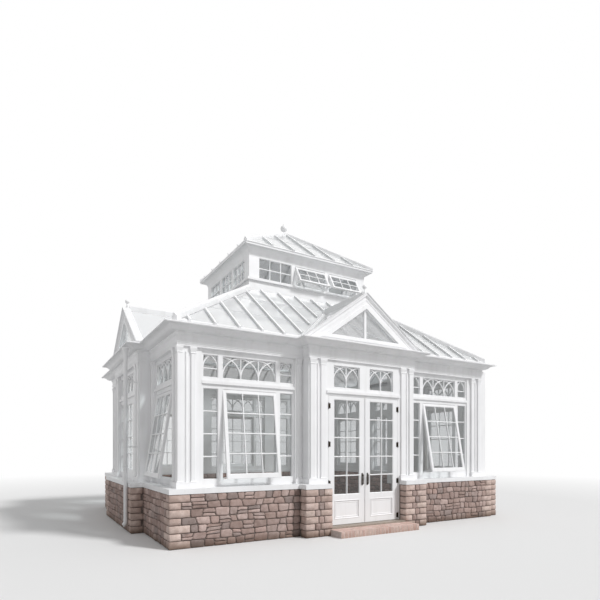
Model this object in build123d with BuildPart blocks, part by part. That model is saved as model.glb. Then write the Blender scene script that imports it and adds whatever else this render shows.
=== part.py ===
from build123d import *
from collections import namedtuple
from math import atan2, cos, hypot, radians, sin, tan
import os

os.makedirs("parts", exist_ok=True)

# Glazed orangery with a hipped glass roof, a glazed gable on three sides and a lantern.
# Millimetres. Z is up, the front faces -Y, and the origin is at the centre of the plan
# on the ground. Walls are measured to the outer faces of their pilasters.

# Plan
front_length = 7000
side_length = 6000
bay_projection = 220
wall_thickness = 180
hairline = 0.5

# Levels
floor_level = 140
stone_top = 830
sill_height = 80
beam_bottom = 3120
beam_height = 200
cornice_height = 120
wall_plate_height = 40

# Stone base, sills and step
stone_proud = 150
stone_thickness = 400
sill_proud = 170
step_depth = 320
step_height = 110
step_margin = 37

# Pilasters: shafts in front of a board, on a plinth
corner_width = 300
post_width = 410
narrow_width = 150
broad_width = 377
jamb_recess = 40
board_recess = 28
corner_shaft = 80
broad_shaft = 110
broad_margin = 24
narrow_margin = 35
shaft_rounding = 14
reed_radius = 18
plinth_height = 90
plinth_proud = 18
capital_height = 80
capital_proud = 16
abacus_height = 22

# Link post at the right-hand end of the front
link_width = 240
link_setback = 60
link_depth = 260

# Beams over the windows: a fillet stands out between architrave and frieze
architrave_height = 60
beam_fillet_height = 20
beam_fillet_proud = 12
frieze_proud = 6

# Windows
frame_recess = 60
frame_depth = 90
frame_jamb = 30
single_jamb = 110
mullion_width = 80
narrow_light_width = 250
sash_stile = 50
sash_bottom_rail = 70
sash_depth = 40
seat_gap = 0.3
light_bottom = 1030
light_top = 2500
transom_light_bottom = 2680
transom_light_top = 3040
drip_height = 50
drip_proud = 30
drip_drop = 60
pane_thickness = 20
sash_pane_thickness = 12

# Top-hung sashes that stand open, in degrees
left_sash_angle = 8
right_sash_angle = 11
side_sash_angle = 9
lantern_sash_angle = 30

# Front doors
door_recess = 30
door_thickness = 45
door_half_width = 820
door_frame_side = 43
door_edge_gap = 5
door_meeting_gap = 8
door_bottom_gap = 8
door_head_gap = 5
door_head = 2490
door_stile = 115
door_top_rail = 60
door_glass_bottom = 690
door_panel_recess = 12
door_panel_border = 60
door_frame_depth = 100
door_transom_bottom = 2640
hinge_radius = 8
hinge_height = 90
hinge_levels = (230, 906, 1610, 2300)
hinge_flap_width = 40
hinge_flap_thickness = 4
handle_plate_width = 34
handle_plate_height = 230
handle_plate_thickness = 5
handle_level = 960
handle_radius = 8
handle_standoff = 45
handle_length = 180

# Cornice profile
cornice_fillet = 30
cornice_step = 18
cornice_start = 48
cornice_reach = 216
cornice_lip_depth = 24
cornice_projection = 240

# Main roof
eave_proud = 60
curb_bottom = 4800
curb_meets_glass = 4830
roof_glass_thickness = 20
hip_width = 90
hip_height = 75
rafter_width = 36
rafter_height = 40
rafter_spacing = 415
shortest_rafter = 150
valley_width = 60
valley_height = 45

# Gables over the bays
gable_overhang = 104
gable_rise = 960
gable_glass_drop = 60
gable_frame_proud = 10
gable_frame_depth = 90
rake_crown_width = 32
rake_crown_proud = 34
rake_bead_width = 60
rake_bead_proud = 22
rake_width = 235
king_bar_width = 36
king_bar_depth = 50
gable_sill_height = 105
ridge_width = 60
ridge_height = 90
gable_finial_height = 150
gable_finial_radius = 42
gable_finial_neck = 14
gable_finial_collar = 26

# Lantern
lantern_half_length = 1500
lantern_half_depth = 1250
curb_thickness = 120
lantern_sill_top = 5100
lantern_sill_height = 50
lantern_sill_proud = 45
lantern_wall_depth = 80
lantern_post = 235
lantern_mullion = 100
lantern_stile = 36
lantern_light_bottom = 5120
lantern_light_top = 5540
lantern_head = 5600
cove_height = 130
cove_projection = 150
cove_fascia = 30
cove_hollow = 42
cove_hollow_height = 92
lantern_apex_height = 1040
lantern_hip_width = 70
lantern_hip_height = 50
lantern_bar_spacing = 520
finial_cap_height = 110
finial_cap_radius = 75
finial_height = 230
finial_radius = 80
finial_neck = 28
finial_neck_height = 28
finial_belly_height = 92
finial_shoulder = 34
finial_shoulder_height = 178

# Downpipe at the front corner of the left bay
pipe_radius = 35
pipe_bottom = 200
pipe_inset = 90
pipe_top_gap = 40

# Values that follow from the ones above
half_front = front_length / 2
half_side = side_length / 2
doorway_half_width = door_half_width + door_frame_side
bay_half_width = doorway_half_width + broad_width
step_half_width = doorway_half_width + step_margin
gable_half_width = bay_half_width + gable_overhang
sill_top = stone_top + sill_height
plinth_top = sill_top + plinth_height
capital_bottom = beam_bottom - capital_height
cornice_bottom = beam_bottom + beam_height
cornice_top = cornice_bottom + cornice_height
plate_top = cornice_top + wall_plate_height
gable_top = plate_top + gable_rise
gable_pitch = gable_rise / gable_half_width
gable_angle = atan2(gable_rise, gable_half_width)
gable_ridge_level = gable_top - gable_glass_drop
gable_eave = (gable_ridge_level - plate_top) / gable_pitch
lantern_eave_level = lantern_head + cove_height + cove_fascia
up = Vector(0, 0, 1)
standing = (Align.CENTER, Align.CENTER, Align.MIN)

# Each wall: middle of its outer face, direction along it, half its length, how far its bay
# stands out. Turning the direction left, as seen from above, points into the house.
Wall = namedtuple("Wall", "middle along half_run bay")
walls = {
    "front": Wall(Vector(0, -half_side, 0), Vector(1, 0, 0), half_front, bay_projection),
    "left": Wall(Vector(-half_front, 0, 0), Vector(0, -1, 0), half_side, bay_projection),
    "right": Wall(Vector(half_front, 0, 0), Vector(0, 1, 0), half_side, bay_projection),
    "back": Wall(Vector(0, half_side, 0), Vector(-1, 0, 0), half_front, 0),
}
gabled_walls = [walls[side] for side in ("front", "left", "right")]
lantern_walls = {
    "front": Wall(Vector(0, -lantern_half_depth, 0), Vector(1, 0, 0), lantern_half_length, 0),
    "left": Wall(Vector(-lantern_half_length, 0, 0), Vector(0, -1, 0), lantern_half_depth, 0),
    "right": Wall(Vector(lantern_half_length, 0, 0), Vector(0, 1, 0), lantern_half_depth, 0),
    "back": Wall(Vector(0, lantern_half_depth, 0), Vector(-1, 0, 0), lantern_half_length, 0),
}


def inward_of(wall):
    """Level direction from a wall into the house."""
    return up.cross(wall.along)


def plan_plane(wall, height=0):
    """Level plane with its origin on the wall's outer face, x along it and y into the house."""
    return Plane(origin=wall.middle + up * height, x_dir=wall.along, z_dir=up)


def face_plane(wall, depth=0):
    """Upright plane at a depth behind the wall's outer face, y up and its normal outwards."""
    origin = wall.middle + inward_of(wall) * depth
    return Plane(origin=origin, x_dir=wall.along, z_dir=-inward_of(wall))


def course_outline(wall, proud, inner, clearance=0):
    """Plan of a course along one wall, mitred at its corners and broken out round the bay."""
    half = []
    if wall.bay:
        half.append((bay_half_width + proud, -wall.bay - proud))
        half.append((bay_half_width + proud, -proud))
    half.append((wall.half_run + proud - clearance, -proud))
    half.append((wall.half_run - inner - clearance, inner))
    return half + [(-x, y) for x, y in reversed(half)]


def mitre_outline(wall, reach):
    """Plan of the sector that belongs to one wall, between the diagonals of its corners."""
    half = [(wall.half_run + reach, -reach), (wall.half_run - reach, reach)]
    return half + [(-x, y) for x, y in reversed(half)]


def box_between(low_x, high_x, low_y, high_y, mode=Mode.ADD):
    """Rectangle in the current sketch between two corners."""
    with Locations(((low_x + high_x) / 2, (low_y + high_y) / 2)):
        Rectangle(high_x - low_x, high_y - low_y, mode=mode)


def slanted_bar(start, end, width, height):
    """Bar whose underside runs from one point to another, with upright sides and ends."""
    course = Vector(end.X - start.X, end.Y - start.Y, 0)
    rise = end.Z - start.Z
    run = course.length
    with BuildSketch(Plane(origin=start, x_dir=course, z_dir=course.cross(up))) as side_view:
        Polygon((0, 0), (run, rise), (run, rise + height), (0, height), align=None)
    extrude(side_view.sketch, amount=width / 2, both=True)


def point_on(wall, along, inward, height):
    """Point given by its place along a wall, into the house and above the ground."""
    return wall.middle + wall.along * along + inward_of(wall) * inward + up * height


def finish_part(part, label):
    """Name a finished part and write it out."""
    part.label = label
    export_step(part, "parts/" + label + ".step")


# Floor, threshold and front step
floor_half_x = half_front + stone_proud - stone_thickness
floor_half_y = half_side + stone_proud - stone_thickness
stone_front = -half_side - bay_projection - stone_proud

with BuildPart() as floor_slab:
    with BuildSketch(Plane.XY):
        Rectangle(2 * floor_half_x, 2 * floor_half_y)
    extrude(amount=floor_level)
finish_part(floor_slab.part, "floor_slab")

with BuildPart() as door_threshold:
    with BuildSketch(Plane.XY):
        box_between(-doorway_half_width, doorway_half_width, stone_front, -floor_half_y)
    extrude(amount=floor_level)
finish_part(door_threshold.part, "door_threshold")

with BuildPart() as door_step:
    with BuildSketch(Plane.XY):
        box_between(-step_half_width, step_half_width, stone_front - step_depth, stone_front)
    extrude(amount=step_height)
finish_part(door_step.part, "door_step")


# Stone base: the front and back take the corners, the sides run between them
stone_inner = stone_thickness - stone_proud
link_end = half_front + link_width


def stone_outline(side, wall):
    """Plan of one wall's stone base, square at its ends."""
    end = wall.half_run - stone_inner
    if side in ("front", "back"):
        end = wall.half_run + stone_proud
    half = []
    if wall.bay:
        half.append((bay_half_width + stone_proud, -wall.bay - stone_proud))
        half.append((bay_half_width + stone_proud, -stone_proud))
    half.append((end, -stone_proud))
    half.append((end, stone_inner))
    return half + [(-x, y) for x, y in reversed(half)]


for side, wall in walls.items():
    with BuildPart() as stone_base:
        with BuildSketch(plan_plane(wall)):
            Polygon(*stone_outline(side, wall), align=None)
            if side == "front":
                link_low = link_setback - stone_proud
                link_high = link_setback + link_depth
                box_between(half_front + stone_proud, link_end + stone_proud, link_low, link_high)
                doorway_low = -wall.bay - stone_proud
                doorway = (-doorway_half_width, doorway_half_width, doorway_low, stone_inner)
                box_between(*doorway, mode=Mode.SUBTRACT)
        extrude(amount=stone_top)
    finish_part(stone_base.part, "stone_base_" + side)


# Sills, broken at the doorway and carried out under the link post
with BuildPart() as sills:
    for side, wall in walls.items():
        with BuildSketch(plan_plane(wall, stone_top)):
            Polygon(*course_outline(wall, sill_proud, wall_thickness, hairline), align=None)
            if side == "front":
                link_low = link_setback - sill_proud
                link_high = link_setback + link_depth
                box_between(half_front + sill_proud, link_end + sill_proud, link_low, link_high)
                doorway_low = -wall.bay - sill_proud
                doorway = (-doorway_half_width, doorway_half_width, doorway_low, wall_thickness)
                box_between(*doorway, mode=Mode.SUBTRACT)
        extrude(amount=sill_height)
finish_part(sills.part, "sills")


# Pilasters: one or two shafts in front of a board, with a plinth below and a flared capital
# on each shaft. Shafts are given by where they start along the wall, and their width.
def shaft(wall, low_x, width, face, back):
    """One shaft with rounded front edges and its capital."""
    high_x = low_x + width
    with BuildSketch(plan_plane(wall, sill_top)) as outline:
        box_between(low_x, high_x, face, back)
        fillet(outline.vertices().group_by(Axis.Y)[0], radius=shaft_rounding)
    extrude(outline.sketch, amount=beam_bottom - sill_top)
    with BuildSketch(plan_plane(wall, capital_bottom)) as necking:
        box_between(low_x, high_x, face, back)
    with BuildSketch(plan_plane(wall, beam_bottom - abacus_height)) as abacus:
        box_between(low_x - capital_proud, high_x + capital_proud, face - capital_proud, back)
    loft([necking.sketch, abacus.sketch])
    extrude(abacus.sketch, amount=abacus_height)


def post(wall, low_x, high_x, low_y, high_y, bottom=sill_top, top=beam_bottom):
    """Plain upright block on a wall."""
    with BuildSketch(plan_plane(wall, bottom)) as outline:
        box_between(low_x, high_x, low_y, high_y)
    extrude(outline.sketch, amount=top - bottom)


def reed(wall, x, face):
    """Half-round reed on the board between two shafts."""
    with BuildSketch(plan_plane(wall, plinth_top)) as outline:
        with Locations((x, face + board_recess)):
            Circle(reed_radius)
    extrude(outline.sketch, amount=capital_bottom - plinth_top)


with BuildPart() as corner_pilasters:
    for side, wall in walls.items():
        for hand in (-1, 1):
            outer = hand * wall.half_run
            inner = hand * (wall.half_run - corner_width)
            low_x = min(outer, inner)
            shaft(wall, low_x, corner_shaft, 0, corner_shaft)
            shaft(wall, low_x + corner_width - corner_shaft, corner_shaft, 0, corner_shaft)
            reed(wall, (outer + inner) / 2, 0)
            jamb = sorted((inner, hand * (wall.half_run - post_width)))
            post(wall, *jamb, jamb_recess, wall_thickness)
            if side in ("front", "back"):
                board = sorted((hand * (wall.half_run - board_recess), inner))
                post(wall, *board, board_recess, corner_width)
                plinth = sorted((hand * (wall.half_run + plinth_proud), inner))
                post(wall, *plinth, -plinth_proud, corner_width, top=plinth_top)
    link_back = link_setback + link_depth
    post(walls["front"], half_front - board_recess, link_end, link_setback, link_back)
    link_clear = half_front + beam_fillet_proud
    post(walls["front"], link_clear, link_end, link_setback, link_back, top=cornice_bottom)
finish_part(corner_pilasters.part, "corner_pilasters")

with BuildPart() as wall_pilasters:
    for wall in walls.values():
        for low_x in (-bay_half_width - narrow_width, bay_half_width):
            high_x = low_x + narrow_width
            shaft(wall, low_x + narrow_margin, narrow_width - 2 * narrow_margin, 0, wall_thickness)
            post(wall, low_x, high_x, board_recess, wall_thickness)
            post(wall, low_x, high_x, -plinth_proud, wall_thickness, top=plinth_top)
finish_part(wall_pilasters.part, "wall_pilasters")


def bay_pair(wall):
    """The two broad pilasters at the corners of a bay, with the posts behind them."""
    face = -wall.bay
    for low_x in (-bay_half_width, doorway_half_width):
        high_x = low_x + broad_width
        for place in (low_x + broad_margin, high_x - broad_margin - broad_shaft):
            shaft(wall, place, broad_shaft, face, face + corner_shaft)
        reed(wall, (low_x + high_x) / 2, face)
        post(wall, low_x, high_x, face + board_recess, wall_thickness)
        spread_low = low_x - plinth_proud * (wall.bay > 0 and low_x < 0)
        spread_high = high_x + plinth_proud * (wall.bay > 0 and low_x > 0)
        plinth_back = -plinth_proud if wall.bay else wall_thickness
        post(wall, spread_low, spread_high, face - plinth_proud, plinth_back, top=plinth_top)


with BuildPart() as portico_pilasters:
    bay_pair(walls["front"])
finish_part(portico_pilasters.part, "portico_pilasters")

with BuildPart() as bay_pilasters:
    for side in ("left", "right", "back"):
        bay_pair(walls[side])
finish_part(bay_pilasters.part, "bay_pilasters")


# Windows: a frame with a sash between two narrow lights, or a sash alone on the short runs,
# and a transom light over each
Window = namedtuple("Window", "wall centre width depth narrow_lights")


def sash_half(window):
    """Half the width of the opening for a window's sash."""
    side = frame_jamb + narrow_light_width + mullion_width if window.narrow_lights else single_jamb
    return window.width / 2 - side


def narrow_spans(window):
    """Low and high ends, along the wall, of a window's narrow lights."""
    if not window.narrow_lights:
        return []
    outer = window.width / 2 - frame_jamb
    inner = outer - narrow_light_width
    centre = window.centre
    return [(centre - outer, centre - inner), (centre + inner, centre + outer)]


def light_spans(window):
    """Low and high ends, along the wall, of all the lights of a window."""
    half = sash_half(window)
    return narrow_spans(window) + [(window.centre - half, window.centre + half)]


def window_list(side):
    """The windows of one wall: one on each side of the bay and one in the bay."""
    wall = walls[side]
    outer = wall.half_run - post_width
    inner = bay_half_width + narrow_width
    centre = (outer + inner) / 2
    long_run = side in ("front", "back")
    found = [Window(wall, sign * centre, outer - inner, 0, long_run) for sign in (-1, 1)]
    if side != "front":
        found.append(Window(wall, 0, 2 * doorway_half_width, -wall.bay, True))
    return found


def window_frame(window):
    """Frame of one window, with a drip bar along its transom."""
    with BuildSketch(face_plane(window.wall, window.depth + frame_recess)) as face:
        low = window.centre - window.width / 2
        high = window.centre + window.width / 2
        box_between(low, high, sill_top, beam_bottom)
        for low_x, high_x in light_spans(window):
            box_between(low_x, high_x, light_bottom, light_top, mode=Mode.SUBTRACT)
            box_between(low_x, high_x, transom_light_bottom, transom_light_top, mode=Mode.SUBTRACT)
    extrude(face.sketch, amount=-frame_depth)
    with BuildSketch(face_plane(window.wall, window.depth + frame_recess)) as drip:
        drip_top = transom_light_bottom - drip_drop
        box_between(low, high, drip_top - drip_height, drip_top)
    extrude(drip.sketch, amount=drip_proud)


windows = {side: window_list(side) for side in walls}
for side in walls:
    with BuildPart() as window_frames:
        for window in windows[side]:
            window_frame(window)
    finish_part(window_frames.part, side + "_windows")


# Glass of the fixed lights: the narrow side lights and every transom light, also the doors'
pane_depth = frame_recess + (frame_depth - pane_thickness) / 2
front = walls["front"]
door_face = -front.bay + door_recess
door_light_inner = door_meeting_gap / 2 + door_stile
door_light_outer = door_half_width - door_edge_gap - door_stile
with BuildPart() as window_glass:
    for side in walls:
        for window in windows[side]:
            with BuildSketch(face_plane(window.wall, window.depth + pane_depth)):
                for low_x, high_x in light_spans(window):
                    box_between(low_x, high_x, transom_light_bottom, transom_light_top)
                for low_x, high_x in narrow_spans(window):
                    box_between(low_x, high_x, light_bottom, light_top)
            extrude(amount=-pane_thickness)
    with BuildSketch(face_plane(front, door_face + (door_frame_depth - pane_thickness) / 2)):
        for hand in (-1, 1):
            span = sorted((hand * door_light_inner, hand * door_light_outer))
            box_between(*span, door_transom_bottom, transom_light_top)
    extrude(amount=-pane_thickness)
finish_part(window_glass.part, "window_glass")


# Sashes: one in the middle of each window, hung at its top edge
def sash_plane(window, angle, depth=0):
    """Plane of a sash's outer face, y up the sash from its bottom, swung about its top edge."""
    outward = -inward_of(window.wall)
    hinge = point_on(window.wall, window.centre, window.depth + frame_recess, light_top)
    normal = outward * cos(radians(angle)) + up * sin(radians(angle))
    upslope = up * cos(radians(angle)) - outward * sin(radians(angle))
    origin = hinge - upslope * (light_top - light_bottom) - normal * depth
    return Plane(origin=origin, x_dir=window.wall.along, z_dir=normal)


def sash_top(angle):
    """Top edge of a sash on its plane, lowered so that its inner edge clears the head."""
    return light_top - light_bottom - seat_gap - sash_depth * tan(radians(angle))


def sash_frame(window, angle):
    """Stiles and rails of one sash."""
    half = sash_half(window) - seat_gap
    with BuildSketch(sash_plane(window, angle)) as outline:
        box_between(-half, half, seat_gap, sash_top(angle))
        opening = (-half + sash_stile, half - sash_stile, sash_bottom_rail, sash_top(angle) - sash_stile)
        box_between(*opening, mode=Mode.SUBTRACT)
    extrude(outline.sketch, amount=-sash_depth)


def sash_pane(window, angle):
    """Glass of one sash."""
    half = sash_half(window) - seat_gap - sash_stile
    with BuildSketch(sash_plane(window, angle, (sash_depth - sash_pane_thickness) / 2)) as pane:
        box_between(-half, half, sash_bottom_rail, sash_top(angle) - sash_stile)
    extrude(pane.sketch, amount=-sash_pane_thickness)


open_sashes = [
    (windows["front"][0], left_sash_angle),
    (windows["front"][1], right_sash_angle),
    (windows["left"][1], side_sash_angle),
]
open_windows = [window for window, angle in open_sashes]
closed_windows = [
    window for side in walls for window in windows[side] if window not in open_windows
]

with BuildPart() as opened_frames:
    for window, angle in open_sashes:
        sash_frame(window, angle)
finish_part(opened_frames.part, "open_sashes")

with BuildPart() as closed_frames:
    for window in closed_windows:
        sash_frame(window, 0)
finish_part(closed_frames.part, "closed_sashes")

with BuildPart() as sash_glass:
    for window, angle in open_sashes:
        sash_pane(window, angle)
    for window in closed_windows:
        sash_pane(window, 0)
finish_part(sash_glass.part, "sash_glass")


# Beams over the windows, with a fillet between architrave and frieze
frieze_height = beam_height - architrave_height - beam_fillet_height
beam_layers = (
    (architrave_height, 0),
    (beam_fillet_height, beam_fillet_proud),
    (frieze_height, frieze_proud),
)
with BuildPart() as eaves_beams:
    for wall in walls.values():
        level = beam_bottom
        for height, proud in beam_layers:
            with BuildSketch(plan_plane(wall, level)):
                Polygon(*course_outline(wall, proud, wall_thickness, hairline), align=None)
            extrude(amount=height)
            level += height
finish_part(eaves_beams.part, "eaves_beams")


# Cornice with its ogee moulding, carried round every break of the wall and mitred at the
# corners of the house
def cornice_profile():
    """Section of the cornice, x outwards from the wall and y up."""
    ogee_top = cornice_height - cornice_lip_depth
    with BuildLine() as outline:
        Polyline((-wall_thickness, 0), (cornice_fillet, 0), (cornice_fillet, cornice_step))
        Line((cornice_fillet, cornice_step), (cornice_start, cornice_step))
        middle = ((cornice_start + cornice_reach) / 2, (cornice_step + ogee_top) / 2)
        hollow = TangentArc((cornice_start, cornice_step), middle, tangent=(1, 0))
        TangentArc(middle, (cornice_reach, ogee_top), tangent=hollow % 1)
        Polyline(
            (cornice_reach, ogee_top),
            (cornice_projection, ogee_top),
            (cornice_projection, cornice_height),
            (-wall_thickness, cornice_height),
            (-wall_thickness, 0),
        )
    make_face(outline.edges())


def cornice_runs(wall):
    """Plan points of the wall line that the cornice follows, from end to end of one wall."""
    half = []
    if wall.bay:
        half.append((bay_half_width, -wall.bay))
        half.append((bay_half_width, 0))
    half.append((wall.half_run + 2 * cornice_projection, 0))
    return [(-x, y) for x, y in reversed(half)] + half


for side, wall in walls.items():
    with BuildPart() as cornice:
        with BuildLine(plan_plane(wall, cornice_bottom)) as cornice_path:
            Polyline(*cornice_runs(wall))
        start = wall.middle - wall.along * (wall.half_run + 2 * cornice_projection) + up * cornice_bottom
        with BuildSketch(Plane(origin=start, x_dir=-inward_of(wall), z_dir=-wall.along)):
            cornice_profile()
        sweep(path=cornice_path.line, transition=Transition.RIGHT)
        with BuildSketch(plan_plane(wall, cornice_bottom)):
            Polygon(*mitre_outline(wall, 2 * cornice_projection), align=None)
        extrude(amount=cornice_height, mode=Mode.INTERSECT)
    finish_part(cornice.part, side + "_cornice")


# Wall plates on the cornice, which carry the foot of the roof
with BuildPart() as wall_plates:
    for wall in walls.values():
        with BuildSketch(plan_plane(wall, cornice_top)):
            Polygon(*course_outline(wall, eave_proud, wall_thickness, hairline), align=None)
        extrude(amount=wall_plate_height)
finish_part(wall_plates.part, "wall_plates")


# Main roof. Each slope rises from the eave line, eave_proud outside the wall, to the curb.
roof_rise = curb_meets_glass - plate_top
Slope = namedtuple("Slope", "wall run rise half_eave half_top")
lantern_halves = {"front": lantern_half_length, "back": lantern_half_length}
lantern_halves.update({"left": lantern_half_depth, "right": lantern_half_depth})
roof_runs = {
    "front": half_side + eave_proud - lantern_half_depth,
    "left": half_front + eave_proud - lantern_half_length,
}
roof_runs["back"] = roof_runs["front"]
roof_runs["right"] = roof_runs["left"]
slopes = {
    side: Slope(wall, roof_runs[side], roof_rise, wall.half_run + eave_proud, lantern_halves[side])
    for side, wall in walls.items()
}


def slope_length(slope):
    """Length of a slope, measured up the glass."""
    return hypot(slope.run, slope.rise)


def slope_plane(slope, level, proud, lift=0):
    """Plane of a slope's glass, x along the eave and y up the slope."""
    uphill = inward_of(slope.wall) * slope.run + up * slope.rise
    normal = slope.wall.along.cross(uphill).normalized()
    origin = point_on(slope.wall, 0, -proud, level) + normal * lift
    return Plane(origin=origin, x_dir=slope.wall.along, z_dir=normal)


def hip_shift(slope, width):
    """How far a slope's edge is drawn in along the eave to leave room for a hip's half width."""
    sweep_in = slope.half_eave - slope.half_top
    return width / 2 * hypot(sweep_in, slope.run) / slope.run


def valley_shift(slope, width):
    """How far the edge along a valley is drawn out for the valley bar's half width."""
    valley_run = slope.run * (gable_ridge_level - plate_top) / slope.rise
    return width / 2 * hypot(gable_eave, valley_run) / valley_run


def valley_room(slope, thickness):
    """Width to keep clear at a valley bar, as upright pieces lean towards it off a slope."""
    return valley_width + 2 * thickness * slope.rise / slope_length(slope)


def valley_height_on(slope):
    """Where the gable's ridge meets the slope, measured up the glass."""
    return slope_length(slope) * (gable_ridge_level - plate_top) / slope.rise


with BuildPart() as main_roof_glass:
    for side, slope in slopes.items():
        edge = hip_shift(slope, hip_width)
        length = slope_length(slope)
        foot = 0
        crest = 0
        if slope.wall.bay:
            foot = gable_eave + valley_shift(slope, valley_room(slope, roof_glass_thickness))
            crest = valley_height_on(slope) * foot / gable_eave
        for hand in (-1, 1):
            with BuildSketch(slope_plane(slope, plate_top, eave_proud)):
                outline = [(hairline, crest), (hairline, length)]
                outline += [(slope.half_top - edge, length), (slope.half_eave - edge, 0)]
                outline.append((max(foot, hairline), 0))
                if not slope.wall.bay:
                    outline = outline[1:]
                Polygon(*[(hand * x, y) for x, y in outline], align=None)
            extrude(amount=roof_glass_thickness)
finish_part(main_roof_glass.part, "main_roof_glass")

with BuildPart() as roof_rafters:
    for side, slope in slopes.items():
        edge = hip_shift(slope, hip_width)
        length = slope_length(slope)
        count = int(slope.half_eave / rafter_spacing)
        lifted = slope_plane(slope, plate_top, eave_proud, roof_glass_thickness)
        for index in range(-count, count + 1):
            place = index * rafter_spacing
            outer = abs(place) + rafter_width / 2 + edge
            inner = max(abs(place) - rafter_width / 2, 0)
            reach = (slope.half_eave - outer) / (slope.half_eave - slope.half_top)
            high = length * min(1, reach)
            low = 0
            if slope.wall.bay:
                bar_room = valley_room(slope, roof_glass_thickness + rafter_height)
                foot = gable_eave + valley_shift(slope, bar_room)
                low = max(0, valley_height_on(slope) * (foot - inner) / gable_eave)
            if high - low > shortest_rafter:
                with BuildSketch(lifted):
                    box_between(place - rafter_width / 2, place + rafter_width / 2, low, high)
                extrude(amount=rafter_height)
finish_part(roof_rafters.part, "roof_rafters")

with BuildPart() as hip_rafters:
    for x_sign in (-1, 1):
        for y_sign in (-1, 1):
            foot_x = x_sign * (half_front + eave_proud)
            foot_y = y_sign * (half_side + eave_proud)
            head_x = x_sign * lantern_half_length
            head_y = y_sign * lantern_half_depth
            foot = Vector(foot_x, foot_y, plate_top)
            slanted_bar(foot, Vector(head_x, head_y, curb_meets_glass), hip_width, hip_height)
finish_part(hip_rafters.part, "hip_rafters")


# Gables over the bays
def valley_inward(slope):
    """How far inside the wall's face the gable's ridge meets the main slope."""
    return slope.run * (gable_ridge_level - plate_top) / slope.rise - eave_proud


gabled_slopes = [slopes[side] for side in ("front", "left", "right")]
frame_front = -bay_projection - gable_frame_proud
frame_back = frame_front + gable_frame_depth
rake_drop = rake_width / cos(gable_angle)
inner_apex = gable_top - rake_drop
gable_sill_top = plate_top + gable_sill_height
inner_foot = (inner_apex - gable_sill_top) / gable_pitch


def gable_light(hand):
    """Corner points of one of the two glazed triangles in a gable."""
    bar = king_bar_width / 2
    points = [(bar, gable_sill_top), (inner_foot, gable_sill_top), (bar, inner_apex - bar * gable_pitch)]
    return [(hand * x, y) for x, y in points]


def gable_triangle(inset, low):
    """Corner points of a triangle parallel to the gable's rakes, from a level up."""
    apex = gable_top - inset / cos(gable_angle)
    foot = (apex - low) / gable_pitch
    return [(-foot, low), (foot, low), (0, apex)]


def gable_layer(wall, proud, outer, inner):
    """Moulding that stands proud of the gable's board, between two of its triangles."""
    with BuildSketch(face_plane(wall, frame_front)) as layer:
        Polygon(*outer, align=None)
        Polygon(*inner, align=None, mode=Mode.SUBTRACT)
    extrude(layer.sketch, amount=proud)


with BuildPart() as gable_frames:
    for wall in gabled_walls:
        with BuildSketch(face_plane(wall, frame_front)) as board:
            Polygon(*gable_triangle(0, plate_top), align=None)
            Polygon(*gable_triangle(rake_width, gable_sill_top), align=None, mode=Mode.SUBTRACT)
        extrude(board.sketch, amount=-gable_frame_depth)
        king_face = frame_front + (gable_frame_depth - king_bar_depth) / 2
        with BuildSketch(face_plane(wall, king_face)) as king_bar:
            box_between(-king_bar_width / 2, king_bar_width / 2, gable_sill_top, inner_apex)
        extrude(king_bar.sketch, amount=-king_bar_depth)
        crown_inner = gable_triangle(rake_crown_width, plate_top)
        gable_layer(wall, rake_crown_proud, gable_triangle(0, plate_top), crown_inner)
        bead_outer = gable_triangle(rake_width - rake_bead_width, gable_sill_top - rake_bead_width)
        bead_inner = gable_triangle(rake_width, gable_sill_top)
        gable_layer(wall, rake_bead_proud, bead_outer, bead_inner)
        base = point_on(wall, 0, frame_front + gable_frame_depth / 2, gable_top - gable_finial_neck)
        with Locations(base):
            Cylinder(gable_finial_neck, gable_finial_height, align=standing)
            Cylinder(gable_finial_collar, gable_finial_height / 3, align=standing)
        with Locations(base + up * gable_finial_height):
            Sphere(gable_finial_radius)
finish_part(gable_frames.part, "gable_frames")

# Glass of the gables: two triangles in each front and a pane on each of its slopes
with BuildPart() as gable_glass:
    for wall in gabled_walls:
        with BuildSketch(face_plane(wall, frame_front + (gable_frame_depth - pane_thickness) / 2)):
            for hand in (-1, 1):
                Polygon(*gable_light(hand), align=None)
        extrude(amount=-pane_thickness)
    for slope in gabled_slopes:
        wall = slope.wall
        climb = gable_eave / cos(gable_angle)
        ridge_edge = climb - ridge_width / 2 / cos(gable_angle)
        room = valley_shift(slope, valley_room(slope, roof_glass_thickness))
        trim = room * (valley_inward(slope) + eave_proud) / gable_eave
        ridge_end = valley_inward(slope) - trim
        foot_end = -eave_proud - trim
        upper_end = foot_end + (ridge_end - foot_end) * ridge_edge / climb
        for hand in (-1, 1):
            normal = up * cos(gable_angle) + wall.along * (hand * sin(gable_angle))
            foot = point_on(wall, hand * gable_eave, 0, plate_top)
            plane = Plane(origin=foot, x_dir=inward_of(wall) * hand, z_dir=normal)
            outline = [(frame_back, 0), (foot_end, 0), (upper_end, ridge_edge), (frame_back, ridge_edge)]
            with BuildSketch(plane):
                Polygon(*[(hand * x, y) for x, y in outline], align=None)
            extrude(amount=roof_glass_thickness)
finish_part(gable_glass.part, "gable_glass")

with BuildPart() as valley_bars:
    for slope in gabled_slopes:
        for hand in (-1, 1):
            foot = point_on(slope.wall, hand * gable_eave, -eave_proud, plate_top)
            crest = point_on(slope.wall, 0, valley_inward(slope), gable_ridge_level)
            share = 1 - (ridge_width / 2 + valley_width) / gable_eave
            slanted_bar(foot, foot + (crest - foot) * share, valley_width, valley_height)
finish_part(valley_bars.part, "valley_bars")


# Ridge bars of the gables
with BuildPart() as gable_ridges:
    for slope in gabled_slopes:
        wall = slope.wall
        with BuildSketch(face_plane(wall, frame_back)):
            ridge_top = gable_ridge_level + ridge_height
            box_between(-ridge_width / 2, ridge_width / 2, gable_ridge_level, ridge_top)
        extrude(amount=-(valley_inward(slope) - frame_back))
finish_part(gable_ridges.part, "gable_ridges")


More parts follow.
